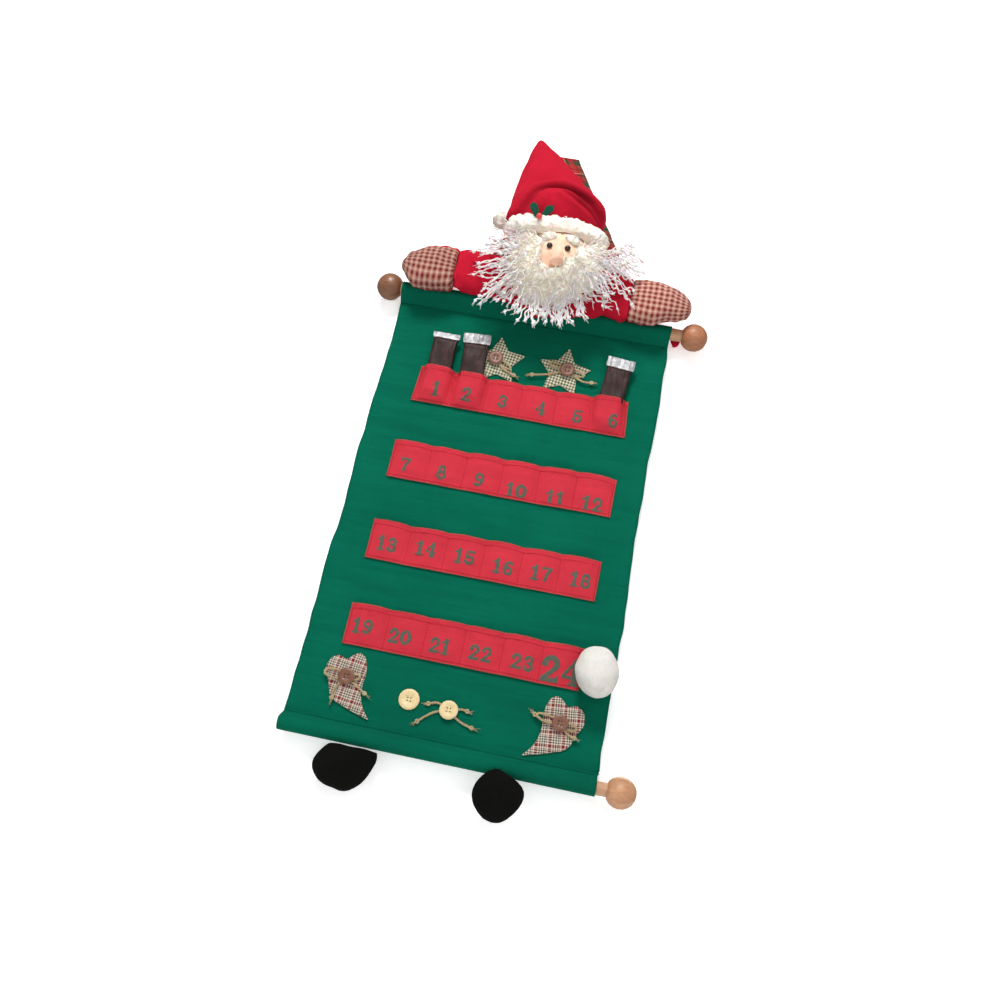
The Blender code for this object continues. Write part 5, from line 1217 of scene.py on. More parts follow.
# Hanging ribbon
def make_ribbon():
    """Two legs that cross under a flat fold. The left one comes from behind."""
    half, radius = 0.014, 0.001
    rise, foot_rise, left_out, right_out = 0.189, 0.014, 0.0568, 0.0946
    length = rise - foot_rise
    overlap = 2 * half / (left_out + right_out)
    fold_x = (left_out * overlap - half) / (1 - overlap)
    centre = rise - radius
    shares = np.linspace(0, 1, 40)
    route = [(fold_x - (fold_x + left_out) * share, radius * (1 - 2 * share), centre - length * share)
             for share in shares[::-1]]
    route += [(fold_x, radius * math.cos(turn), centre + radius * math.sin(turn))
              for turn in np.linspace(0, math.pi, 9)[1:-1]]
    route += [(fold_x + (right_out - fold_x) * share, -radius, centre - length * share) for share in shares]
    route = np.array(route)
    run = np.concatenate([[0], np.cumsum(np.linalg.norm(np.diff(route, axis=0), axis=1))])
    across = np.linspace(-1, 1, 9)
    spots, uv = [], []
    for (x, y, z), along in zip(route, run):
        for share in across:
            spots.append((x + half * share, y, z + TOP))
            uv.append((half * share, along))
    spots = np.array(spots)
    spots[:, 0] += 0.0003 * ripple(spots, 0.02, 81)
    ribbon = new_piece("ribbon_loop", spots, grid_faces(len(route), len(across)), TARTAN,
                       uv=uv)
    thicken(ribbon, 0.0006)
    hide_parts("hanging_ribbon")


# Stuffed pieces
STUFFED = []


def stuffed(piece, cap, pin=None):
    """Books a stuffed piece for the filling. pin marks points that are sewn down."""
    STUFFED.append((piece, places(piece), cap, pin))


def run_filling():
    """Fills the booked pieces with air by Cloth, each point within its cap, and leaves no Cloth behind."""
    for piece, _, _, pin in STUFFED:
        sim = piece.modifiers.new("filling", "CLOTH")
        settings = sim.settings
        settings.quality = 6
        settings.mass = 0.2
        settings.tension_stiffness = 12
        settings.compression_stiffness = 12
        settings.shear_stiffness = 6
        settings.bending_stiffness = 0.4
        settings.use_pressure = True
        settings.uniform_pressure_force = 4
        settings.effector_weights.gravity = 0
        sim.collision_settings.use_collision = False
        if pin is not None and pin.any():
            group = piece.vertex_groups.new(name="sewn")
            group.add([int(index) for index in np.nonzero(pin)[0]], 1.0, "REPLACE")
            settings.vertex_group_mass = "sewn"
    for step in range(1, 19):
        scene.frame_set(step)
    made = []
    for piece, rest, cap, _ in STUFFED:
        graph = bpy.context.evaluated_depsgraph_get()
        swollen = places(piece.evaluated_get(graph))
        move = swollen - rest
        size = np.linalg.norm(move, axis=1)[:, None]
        move = move * np.minimum(1, cap / np.maximum(size, 1e-9))
        made.append((piece, rest + move))
    for piece, spots in made:
        piece.modifiers.clear()
        put(piece, spots)
    scene.frame_set(1)


def soft_form(piece):
    """Rounds a stuffed piece that keeps its shape."""
    softened(piece)


def softened(piece):
    rounder = piece.modifiers.new("rounder", "SUBSURF")
    rounder.levels = 1
    rounder.render_levels = 1


def wrinkle(piece, size, depth, seed, stretch=(1, 1, 1), only=None):
    spots, ways = places(piece), facings(piece)
    height = ripple(spots, size, seed, stretch)
    if only is not None:
        height = height * only(spots)
    put(piece, spots + ways * (height * depth)[:, None])


def round_uv(piece, axis_y, axis_z):
    """Wraps the cloth round a limb that runs along X: u along it and v round it."""
    spots = places(piece)
    turn = np.arctan2(spots[:, 2] - axis_z, -(spots[:, 1] - axis_y))
    reach = 0.019
    write_uv(piece.data, np.stack([spots[:, 0], turn * reach], 1), math.tau * reach)


def settle(piece, axis_z, low_z, drop, end=0.118):
    """Lets a stuffed piece sag onto the rod's sleeve, and keeps it off the sleeve and the wall."""
    spots = places(piece)
    across_x = np.abs(spots[:, 0])
    share = (step_up(0, 1, (TOP + axis_z - spots[:, 2]) / (axis_z - low_z))
             * (1 - step_up(end, end + 0.017, across_x)))
    spots[:, 2] -= drop * share
    out, rise = spots[:, 1] - ROD_Y, spots[:, 2] - TOP - TOP_ROD_Z
    reach = np.maximum(np.hypot(out, rise), 1e-6)
    keep = SLEEVE_RADIUS + CLOTH / 2 + 0.0007
    push = np.where((across_x < HALF_TOP + 0.004) & (reach < keep), keep / reach, 1)
    spots[:, 1] = ROD_Y + out * push
    spots[:, 2] = TOP + TOP_ROD_Z + rise * push
    below = spots[:, 2] < TOP + 0.0005
    spots[:, 1] = np.where(below, np.minimum(spots[:, 1], -0.0022), spots[:, 1])
    put(piece, spots)


def make_palm():
    """The red back of the right mitten, down behind the rod."""
    centre = np.array([0.1480, 0.0006, TOP - 0.0128])
    turns = [(u, v) for u in np.linspace(0, math.pi, 17)
             for v in np.linspace(0, math.tau, 28, endpoint=False)]
    spots = np.array([centre + (0.0051 * math.sin(u) * math.cos(v), 0.0021 * math.sin(u) * math.sin(v),
                                0.0105 * math.cos(u)) for u, v in turns])
    spots += 0.0004 * ripple(spots, 0.007, 181)[:, None] * (0.3, 0.6, 1)
    faces = [(row * 28 + side, (row + 1) * 28 + side, (row + 1) * 28 + (side + 1) % 28,
              row * 28 + (side + 1) % 28)
             for row in range(16) for side in range(28)]
    palm = new_piece("mitten_palm", spots, faces, CRIMSON)
    weld(palm.data, 0.0001, normals=True)
    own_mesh(palm)


def make_limbs():
    trunk = rebuilt("doll_trunk", "doll_body", 0.0022, CRIMSON)
    wrinkle(trunk, 0.018, 0.0007, 91, (1, 1, 0.6))
    settle(trunk, 0.014, -0.006, 0.0130)
    soft_form(trunk)
    for side, label, cuff, cuff_z in ((-1, "left", -0.088, 0.015), (1, "right", 0.095, 0.0115)):
        arm = rebuilt(f"doll_arm_{label}", f"sleeve_{label}", 0.0018, CRIMSON)
        wrinkle(arm, 0.010, 0.0006, 95 + side, (1, 1, 0.5),
                lambda spots: 0.4 + np.exp(-((np.abs(spots[:, 0] - cuff) - 0.004) / 0.008) ** 2))
        spots = places(arm)
        outer_end = side * (spots[:, 0] * side).max()
        inner = step_up(0.5, 1.0, np.abs(spots[:, 0] - outer_end) / np.ptp(spots[:, 0]))
        spots[:, 0] -= side * 0.008 * inner
        spots[:, 2] -= 0.002 * inner
        put(arm, spots)
        settle(arm, cuff_z - 0.002, cuff_z - 0.019, 0.0085 if side < 0 else 0.0076)
        low = places(arm)
        stuffed(arm, 0.0012, (np.abs(low[:, 0] - low[:, 0].min()) < 0.002)
                | (np.abs(low[:, 0] - low[:, 0].max()) < 0.002) | (low[:, 2] < TOP + 0.001))
        # The left mitten wears the darker copy of the plaid, painted shade.
        mitten = rebuilt(f"doll_mitten_{label}", f"mitten_{label}", 0.0016, PLAID if side > 0 else SHADED_MITTEN_PLAID)
        wrinkle(mitten, 0.011, 0.0005, 105 + side, (1.4, 1, 0.8))
        settle(mitten, cuff_z - 0.003, cuff_z - 0.018, 0.0120 if side < 0 else 0.0065,
               0.127 if side < 0 else 0.118)
        spots = places(mitten)
        mitten.data.materials.append(CRIMSON)
        tip = spots[:, 0].min() if side < 0 else spots[:, 0].max()
        middle = (spots[:, 2].max() + spots[:, 2].min()) / 2
        for face in mitten.data.polygons:
            spot = face.center
            from_tip = abs(spot.x - tip)
            turn = math.degrees(math.atan2(spot.z - middle, -0.026 - spot.y))
            if side < 0:
                rim = turn > 62 - 0.9 * max(0, 26 - from_tip / MM) or turn < -100
            else:
                rim = abs(turn) > 100
            if rim:
                face.material_index = 1
        round_uv(mitten, -0.026, TOP + cuff_z - 0.004)
        stuffed(mitten, 0.0010, (np.abs(spots[:, 0] - cuff) < 0.003) | (spots[:, 2] < TOP - 0.003)
                | from_ball(spots))


def from_ball(spots):
    """Points near the end balls, which stay where they are."""
    near = np.zeros(len(spots), bool)
    for node in ("top_ball_left", "top_ball_right"):
        low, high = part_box(node)
        centre = np.array((low + high) / 2)
        near |= np.linalg.norm(spots - centre, axis=1) < (high.z - low.z) / 2 + 0.003
    return near


def make_boots():
    for label, seed in (("left", 121), ("right", 122)):
        boot = rebuilt(f"boot_{label}", f"felt_boot_{label}", 0.0019, BLACK_FELT,
                       f"boot_{label}")
        wrinkle(boot, 0.026, 0.0005, seed, (1, 1, 0.7))
        spots = places(boot)
        stuffed(boot, 0.0012, spots[:, 2] > spots[:, 2].max() - 0.010)


def make_marker():
    ball = rebuilt("marker_ball", "marker_pompon", 0.0019, PLUSH, "marker")
    spots, ways = places(ball), facings(ball)
    low, high = spots.min(0), spots.max(0)
    middle = (low + high) / 2
    pucker = np.array([middle[0] + 0.004, low[1] + 0.008, low[2] + 0.004])
    away = spots - pucker
    size = np.linalg.norm(away, axis=1)
    turn = np.arctan2(away[:, 0], -away[:, 1] + 1e-9)
    folds = (np.cos(turn * 7 + 0.8) * 0.0004 * np.exp(-(size / 0.010) ** 2)
             - 0.0018 * np.exp(-(size / 0.0035) ** 2))
    put(ball, spots + ways * (folds + 0.0004 * ripple(spots, 0.020, 131))[:, None])
    soft_form(ball)


make_ribbon()
make_limbs()
make_palm()
make_boots()
run_filling()
for filled, _, _, _ in STUFFED:
    filled.data.shade_smooth()
    softened(filled)
make_marker()


# Head, hat and fleece
FACE = Vector((HEAD_X, -0.044, TOP + 0.020))
FACE_RADII = (0.036, 0.033, 0.038)


def face_front(x, z):
    inside = 1 - ((x - FACE.x) / FACE_RADII[0]) ** 2 - ((z - FACE.z) / FACE_RADII[2]) ** 2
    return FACE.y - FACE_RADII[1] * np.sqrt(np.clip(inside, 0, 1))


def make_head():
    head = rebuilt("doll_head", "doll_face", 0.0018, SKIN)
    spots, ways = places(head), facings(head)
    push = np.zeros(len(spots))
    for x, z, size, depth in ((-0.001, 0.008, 0.010, 0.0012), (0.033, 0.008, 0.010, 0.0012)):
        away = (spots[:, 0] - x) ** 2 + (spots[:, 2] - TOP - z) ** 2
        push += depth * np.exp(-away / size ** 2)
    crease = np.exp(-((spots[:, 0] - 0.0163) / 0.0012) ** 2) * step_up(0.026, 0.034, spots[:, 2] - TOP)
    push -= 0.0012 * crease
    front = spots[:, 1] < FACE.y
    put(head, spots + ways * (push * front)[:, None])
    soft_form(head)
    nose = rebuilt("doll_nose", "stitched_nose", 0.0009, SKIN)
    wrinkle(nose, 0.007, 0.0003, 141)
    soft_form(nose)


def curls_on(tubes, piece, count, length, thick, seed, keep=None, lift=0.6, flow=None):
    """Short curls that grow from a surface."""
    draw = random.Random(seed)
    spots = places(piece)
    faces = [face for face in piece.data.polygons if keep is None or keep(face.center)]
    weights = np.cumsum([face.area for face in faces])
    for _ in range(count):
        face = faces[int(np.searchsorted(weights, draw.uniform(0, weights[-1])))]
        root = Vector(spots[face.vertices[draw.randrange(len(face.vertices))]])
        root = root.lerp(face.center, draw.random())
        normal = face.normal
        along = Vector((draw.gauss(0, 1), draw.gauss(0, 1), draw.gauss(0, 1)))
        if flow is not None:
            along = along * 0.6 + flow(root)
        along = (along - normal * along.dot(normal)).normalized()
        side = normal.cross(along)
        reach = length * draw.uniform(0.6, 1.3)
        bend = draw.uniform(-1, 1)
        path = []
        for share in (0, 0.22, 0.45, 0.7, 1):
            rise = math.sin(share * math.pi * 0.8) * lift
            path.append(root - normal * thick + reach * (along * share * 0.8 + normal * rise * 0.42
                                                        + side * bend * 0.45 * math.sin(share * math.pi)))
        tubes.add(path, np.array([1, 1.1, 1, 0.9, 0.45]) * thick, 4)


def wool_lump(name, centre, radii, seed):
    """A soft round tuft of fleece."""
    steps, sides = 18, 30
    spots = []
    for up in np.linspace(-math.pi / 2, math.pi / 2, steps):
        for side in range(sides):
            turn = math.tau * side / sides
            spots.append((centre[0] + radii[0] * math.cos(up) * math.cos(turn),
                          centre[1] + radii[1] * math.cos(up) * math.sin(turn),
                          centre[2] + radii[2] * math.sin(up)))
    spots = np.array(spots)
    spots += 0.0009 * ripple(spots, 0.007, seed)[:, None] * (1, 1, 1)
    lump = new_piece(name, spots, ring_faces(steps, sides, capped=False), FLEECE)
    weld(lump.data, 0.0012)
    lump.data.shade_smooth()
    return lump


def make_fleece():
    brim = rebuilt("hat_brim", "fleece_brim", 0.0014, FLEECE, smooth_steps=8)
    spots, ways = places(brim), facings(brim)
    rise = 0.0016 + 0.0010 * ripple(spots, 0.011, 151) + 0.0006 * ripple(spots, 0.0048, 152)
    rise += 0.0005 * np.abs(ripple(spots, 0.0030, 156))
    put(brim, spots + ways * (rise * (ways[:, 2] > -0.6))[:, None])
    soft_form(brim)
    tubes = Tubes()
    curls_on(tubes, brim, 420, 0.0036, 0.00055, 153, lift=0.10)
    puff = wool_lump("fleece_puff", (-0.0530, -0.0250, TOP + 0.0775), (0.0105, 0.0100, 0.0085), 154)
    curls_on(tubes, puff, 160, 0.0050, 0.00055, 155, lift=0.20)
    tubes.piece("fleece_curls", CURL, "white_fleece")
    for label, side, seed in (("left", -1, 161), ("right", 1, 162)):
        brow = rebuilt(f"doll_brow_{label}", f"fleece_brow_{label}", 0.0009, FLEECE)
        spots, ways = places(brow), facings(brow)
        put(brow, spots + ways * (0.0010 + 0.0004 * ripple(spots, 0.004, seed))[:, None])
        soft_form(brow)
        tufts = Tubes()
        curls_on(tufts, brow, 40, 0.0050, 0.00045, seed, lift=0.08,
                 flow=lambda spot, side=side: Vector((1.6 * side, 0, -0.3)))
        tufts.piece(f"brow_curls_{label}", CURL, "white_fleece")


# Folds over the front of the hat, in millimetres: x, z, the valley's depth, and how far the crest hangs out
HAT_VALLEY = ((-34, 62, 1.5, 1.5), (-24, 79.5, 3.0, 3.0), (-17.5, 92, 4.0, 4.5), (-11, 99.5, 5.0, 6.0),
              (-2, 102, 6.0, 8.0), (8, 102, 6.5, 9.0), (18, 99, 7.5, 9.0), (33, 90, 7.5, 7.5),
              (46, 81, 5.0, 5.0), (54, 76, 3.0, 3.0))
HAT_SECOND = ((2, 94, 0.0, 0.0), (12, 91, 3.0, 1.5), (26, 84, 4.5, 2.5), (38, 79.5, 4.5, 2.5),
              (50, 73, 3.0, 1.5))


def nearest_fold(spots, line):
    """How far above a fold line each place is, and the line's depth and crest beside it."""
    points = np.array(line) * MM
    best = np.full(len(spots), 1e9)
    above = np.ones(len(spots))
    sizes = np.zeros((len(spots), 2))
    for start, end in zip(points, points[1:]):
        way = end[:2] - start[:2]
        away = spots[:, (0, 2)] - (0, TOP) - start[:2]
        share = np.clip((away @ way) / (way @ way), 0, 1)
        gap = np.linalg.norm(away - share[:, None] * way, axis=1)
        nearer = gap < best
        best = np.where(nearer, gap, best)
        above = np.where(nearer, np.sign(way[0] * away[:, 1] - way[1] * away[:, 0]), above)
        sizes[nearer] = (start[2:] + (end[2:] - start[2:]) * share[:, None])[nearer]
    return best * above, sizes[:, 0], sizes[:, 1]


def fold_push(spots, line, reach, apart):
    """How far a fold line moves each place back: in at its valley, out at the crest and roll beside it."""
    signed, depth, height = nearest_fold(spots, line)
    crest = np.exp(-((signed - apart) / (0.62 * apart)) ** 2) * height
    roll = np.exp(-((signed + apart) / (0.6 * apart)) ** 2) * 0.0022 * (depth > 0.001)
    return depth * np.exp(-(signed / reach) ** 2) - crest - roll


# Painted shade for a fold line: strongest just above the line, under the crest, and fuller where the fold is
# deeper.
def fold_shade(spots, line, middle, reach, full):
    signed, depth, _ = nearest_fold(spots, line)
    return np.clip(depth / full, 0, 1) * np.exp(-((signed - middle) / reach) ** 2)


def make_hat():
    hat = rebuilt("hat", "flannel_hat", 0.0017, HAT_CRIMSON, smooth_steps=3)
    spots, ways = places(hat), facings(hat)
    front = step_up(0.15, 0.55, -ways[:, 1])
    spots[:, 1] += front * (fold_push(spots, HAT_VALLEY, 0.0036, 0.0105)
                            + fold_push(spots, HAT_SECOND, 0.0028, 0.006))
    corner = np.exp(-((spots[:, 0] + 0.044) / 0.010) ** 2 - ((spots[:, 2] - TOP - 0.073) / 0.010) ** 2)
    spots[:, 0] -= 0.0045 * corner
    spots[:, 2] -= 0.0030 * corner
    # Painted shade in the folds, under their crests, kept as a point attribute that darkens the hat's colour.
    inside = np.maximum(fold_shade(spots, HAT_VALLEY, 0.0022, 0.0052, 0.0072),
                        0.8 * fold_shade(spots, HAT_SECOND, 0.0012, 0.0034, 0.0045)) * front
    wear_and_fold_shade = hat.data.attributes.new("painted_fold_shade", "FLOAT", "POINT")
    wear_and_fold_shade.data.foreach_set("value", np.minimum(inside, 1.0))
    put(hat, spots)
    wrinkle(hat, 0.034, 0.0009, 171, (1, 1, 0.7))
    soft_form(hat)


LEAF_LENGTH = 0.0205


def leaf_outline():
    half = ((0.0, 0.0), (0.10, 0.36), (0.22, 0.65), (0.34, 0.70), (0.46, 0.76), (0.60, 0.94), (0.74, 1.0),
            (0.88, 0.74), (0.96, 0.38), (1.0, 0.0))
    shares = half + tuple((along, -across) for along, across in half[-2:0:-1])
    return [(LEAF_LENGTH * along, 0.00425 * across) for along, across in shares]


def make_leaves():
    """Felt leaves, curved a little, in the CAD leaves' places."""
    brim = Vector((HEAD_X - 0.009, -0.0022 - 0.0275 - 0.0095, TOP + 0.059))
    forward = -0.0275 * math.sqrt(1 - (0.0165 / 0.044) ** 2)
    tilt, lean, spread = math.radians(14), math.radians(2), math.radians(63)
    roll = brim + Vector((-0.0165, forward * math.cos(tilt), forward * math.sin(tilt)))
    facing = Vector((0, -math.cos(lean), math.sin(lean)))
    flat, faces, depth = flat_shape(polygon_distance(leaf_outline()), (-0.0005, -0.005), (0.021, 0.005),
                                    0.0005)
    for side, label in ((-1, "left"), (1, "right")):
        curl = 0.0006 * (flat[:, 0] / LEAF_LENGTH) ** 2 + 0.0005 * (flat[:, 1] / 0.004) ** 2
        vein = 0.0003 * np.exp(-(flat[:, 1] / 0.0005) ** 2)
        swell = 0.0005 * step_up(0, 0.0009, depth)
        front = 0.0001 + swell - vein + curl
        back = -0.0006 + curl
        turn = -spread if side > 0 else spread - math.pi
        place = roll + facing * (0.0095 + 0.0003 + 0.0006)
        place.x += side * 0.0012
        matrix = np.array(Matrix.Translation(place) @ Matrix.Rotation(-lean, 4, "X")
                          @ Matrix.Rotation(turn, 4, "Y") @ Matrix.Rotation(math.pi / 2, 4, "X"))
        local = np.vstack([np.column_stack([flat, front]), np.column_stack([flat, back])])
        _, solid_faces = slab(flat, faces, front, back)
        world = local @ matrix[:3, :3].T + matrix[:3, 3]
        leaf = new_piece(f"felt_leaf_{label}", world, solid_faces, GREEN_FELT)
        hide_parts(f"holly_leaf_{label}")


make_head()
make_fleece()
make_hat()
make_leaves()

# Beard and hair
REACH_SHARES = ((140, 0.93), (174, 0.96), (214, 0.88), (250, 0.68), (285, 0.64), (312, 0.60), (332, 0.68),
                (350, 0.95), (374, 1.0), (392, 0.95))
FAN_CENTRE = Vector((HEAD_X, 0, TOP + 0.015))
FAN_REACH = 0.088
FAN_START, FAN_INSIDE = 139, 0.02
ROOT_Y, SIDE_Y, LOW_Y = -0.072, -0.046, -0.0231


def fan_reach(degrees):
    degrees = degrees % 360
    if degrees < FAN_START:
        degrees += 360
    return FAN_REACH * float(np.interp(degrees, [d for d, _ in REACH_SHARES], [s for _, s in REACH_SHARES]))


def fan_y(degrees, share):
    down = max(0.0, -math.sin(math.radians(degrees))) ** 1.5
    tip = SIDE_Y + (LOW_Y - SIDE_Y) * down
    return ROOT_Y + (tip - ROOT_Y) * share ** 0.8


def inner_radius(degrees):
    """How near to the face's middle the wool starts: close under the nose and over the right cheek."""
    if degrees < FAN_START:
        degrees += 360
    shares = ((140, 0.021), (180, 0.019), (240, 0.0178), (270, 0.0165), (300, 0.0145), (330, 0.0125),
              (350, 0.0130), (365, 0.018), (392, 0.024))
    return float(np.interp(degrees, [turn for turn, _ in shares], [radius for _, radius in shares]))


def strand(tubes, draw, degrees, start, end_share, thick, lift, lean):
    """One piece of yarn from the cheek outwards: crinkled, knotted near its end, with a frayed tip."""
    reach = fan_reach(degrees) * end_share
    kink, phase, size = draw.uniform(0.0009, 0.0017), draw.uniform(0, math.tau), draw.uniform(0.0075, 0.0115)
    droop, hook = draw.uniform(0.0, 0.006), draw.gauss(0, 0.0035)
    path = []
    for share in np.linspace(0, 1, max(9, int((reach - start) / 0.0019)) + 1):
        radius = start + (reach - start) * share
        grown = min(1.0, share * 5)
        sideways = (radius - start) * math.tan(lean) + hook * share ** 3
        sideways += grown * kink * math.sin(radius / size * math.tau + phase)
        turn = math.radians(degrees)
        x = FAN_CENTRE.x + radius * math.cos(turn) - sideways * math.sin(turn)
        z = FAN_CENTRE.z + radius * math.sin(turn) + sideways * math.cos(turn) - droop * share ** 2
        across = min(1.1, max(0.0, (radius - FAN_INSIDE) / max(fan_reach(degrees) - FAN_INSIDE, 0.01)))
        y = fan_y(degrees, across) - lift * (0.0075 - 0.0048 * min(1.0, across))
        y -= grown * 0.8 * kink * math.cos(radius / size * math.tau * 1.1 + phase)
        y += 0.0045 * (1 - min(1.0, share * 4))
        path.append((x, min(y, float(face_front(x, z)) - 0.0008), z))
    tubes.add(path, thick * (1 + 0.12 * np.sin(np.arange(len(path)) * 1.9 + phase)), 5, draw.uniform(0, 0.02))
    place = np.array(path[-2])
    ahead = np.array(path[-1]) - np.array(path[-3])
    ahead /= np.linalg.norm(ahead)
    if draw.random() < 0.8:
        knot(tubes, place, thick * 1.9, draw, thick=0.6)
    for _ in range(2):
        off = np.array([draw.gauss(0, 1), draw.gauss(0, 0.6), draw.gauss(0, 1)]) * 0.0011
        tip = place + ahead * draw.uniform(0.0025, 0.0055)
        tubes.add([place, (place + tip) / 2 + off, tip + 1.6 * off],
                  (thick * 0.7, thick * 0.55, thick * 0.35), 4)


def make_yarn(name, start, end, tufts, strays, curls, seed, node):
    draw = random.Random(seed)
    tubes = Tubes()
    for tuft in range(tufts):
        middle = start + (end - start) * (tuft + 0.5 + draw.uniform(-0.35, 0.35)) / tufts
        length, height, lean = draw.uniform(0.66, 1.08), draw.uniform(-0.6, 0.9), draw.gauss(0, 0.26)
        for _ in range(draw.choice((3, 4, 5))):
            degrees = min(end, max(start, middle + draw.gauss(0, 2.6)))
            inside = inner_radius(degrees) + draw.uniform(0.010, 0.020)
            strand(tubes, draw, degrees, inside, length * draw.uniform(0.86, 1.06),
                   draw.uniform(0.00070, 0.00088),
                   height + draw.uniform(-0.25, 0.25), lean + draw.gauss(0, 0.09))
    for _ in range(strays):
        degrees = draw.uniform(start, end)
        inside = inner_radius(degrees) + draw.uniform(0.006, 0.018)
        strand(tubes, draw, degrees, inside, draw.uniform(0.50, 0.95), draw.uniform(0.00052, 0.00072),
               draw.uniform(0.2, 1.2), draw.gauss(0, 0.30))
    piece = tubes.piece(name, YARN, "white_yarn")
    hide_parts(node)
    base = wool_pad(name.replace("yarn", "wool"), start, end, seed)
    fluff = Tubes()

    def outward(spot):
        away = spot - FAN_CENTRE
        return Vector((away.x, 0, away.z)).normalized() * 1.1

    curls_on(fluff, base, curls, 0.0110, 0.00066, seed + 1, keep=lambda spot: spot.y < -0.040, lift=0.36,
             flow=outward)
    fluff.piece(name.replace("yarn", "curls"), CURL, "white_yarn")


def wool_pad(name, start, end, seed):
    """The matted wool next to the face, under the loose yarn."""
    steps = max(6, int((end - start) / 2.2))
    levels = np.linspace(0, 1, 13)
    rings = []
    for step in range(steps + 1):
        degrees = start + (end - start) * step / steps
        turn = math.radians(degrees)
        inner = inner_radius(degrees) - 0.001
        outer = min(inner + 0.028, fan_reach(degrees) * 0.66)
        front, back = [], []
        for level in levels:
            radius = inner + (outer - inner) * level
            x, z = FAN_CENTRE.x + radius * math.cos(turn), FAN_CENTRE.z + radius * math.sin(turn)
            across = (radius - FAN_INSIDE) / (fan_reach(degrees) - FAN_INSIDE)
            middle = fan_y(degrees, max(0, across))
            swell = 0.0076 * math.sqrt(max(0.0, 1 - (2 * level - 0.9) ** 2 / 1.25))
            top = min(middle - swell * 0.7, float(face_front(x, z)) - 0.0005 - swell * 0.5)
            front.append((x, top, z))
            back.append((x, middle + 0.0035, z))
        rings.append(front + back[::-1])
    spots = np.array(rings).reshape(-1, 3)
    rise = 0.0014 * ripple(spots, 0.010, seed + 5) + 0.0009 * ripple(spots, 0.0045, seed + 6)
    spots[:, 1] += rise
    spots[:, 0] += 0.0006 * ripple(spots, 0.006, seed + 7)
    pad = new_piece(name, spots, ring_faces(len(rings), len(rings[0])), WOOL)
    return pad


make_yarn("beard_yarn", 184, 352, 27, 60, 950, 201, "doll_beard")
make_yarn("hair_left_yarn", 140, 184, 9, 26, 240, 221, "doll_hair_left")
make_yarn("hair_right_yarn", -8, 32, 8, 22, 220, 241, "doll_hair_right")


# Stars and hearts
APPLIQUE_BACK = STRIP_BACK
APPLIQUE = 0.0018
APPLIQUE_FRONT = APPLIQUE_BACK - APPLIQUE


def make_applique(name, node, outline, place, step, material, tilt=0.0):
    """A thin padded shape: crowned in front, flat behind, with a pale cut edge."""
    spots, faces, depth = flat_shape(polygon_distance(outline), np.min(outline, 0) - step,
                                     np.max(outline, 0) + step, step)
    crown = 0.0011 + 0.0007 * step_up(0.0, 0.0035, depth) + 0.00012 * ripple(
        np.column_stack([spots, np.zeros(len(spots))]), 0.008, len(name))
    front = APPLIQUE_BACK - crown
    back = np.full(len(spots), APPLIQUE_BACK)
    moved = spots + np.array([place[0], place[1] + TOP])
    solid, solid_faces = slab(moved, faces, front, back)
    turn = np.array([[math.cos(tilt), -math.sin(tilt)], [math.sin(tilt), math.cos(tilt)]])
    uv = spots @ turn.T
    piece = new_piece(name, solid, solid_faces, material, uv=np.vstack([uv, uv]))
    piece.data.materials.append(EDGE_CREAM)
    for face in piece.data.polygons:
        if abs(face.normal.y) < 0.6:
            face.material_index = 1
    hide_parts(node)


def star_outline(turn):
    corners = []
    for index in range(10):
        angle = math.pi / 2 + math.pi * index / 5 + turn
        radius = STAR_RADIUS if index % 2 == 0 else 0.015
        corners.append((radius * math.cos(angle), radius * math.sin(angle)))
    return np.array(corners)


HEART_WIDTH, HEART_HEIGHT, STAR_RADIUS, CUT_STEP = 0.040, 0.059, 0.028, 0.0008
HEART_SHARES = (((-0.06, 0.24), "VECTOR"), ((0.24, 0.37), "AUTO"), ((0.43, 0.20), "AUTO"),
                ((0.45, -0.20), "AUTO"), ((0.54, -0.41), "AUTO"), ((0.78, -0.62), "VECTOR"),
                ((0.14, -0.49), "AUTO"), ((-0.20, -0.38), "AUTO"), ((-0.35, -0.16), "AUTO"),
                ((-0.49, 0.06), "AUTO"), ((-0.31, 0.27), "AUTO"))


def heart_outline(side):
    curve = bpy.data.curves.new("outline", "CURVE")
    curve.dimensions = "2D"
    curve.fill_mode = "NONE"
    curve.resolution_u = 8
    line = curve.splines.new("BEZIER")
    line.bezier_points.add(len(HEART_SHARES) - 1)
    for point, ((across, up), handle) in zip(line.bezier_points, HEART_SHARES):
        point.co = (side * across * HEART_WIDTH, up * HEART_HEIGHT, 0)
        point.handle_left_type = handle
        point.handle_right_type = handle
    line.use_cyclic_u = True
    holder = bpy.data.objects.new("outline", curve)
    scene.collection.objects.link(holder)
    graph = bpy.context.evaluated_depsgraph_get()
    mesh = holder.evaluated_get(graph).to_mesh()
    outline = np.array([tuple(vertex.co)[:2] for vertex in mesh.vertices])
    bpy.data.objects.remove(holder)
    return outline


def centre_of(node):
    low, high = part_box(node)
    return (low + high) / 2


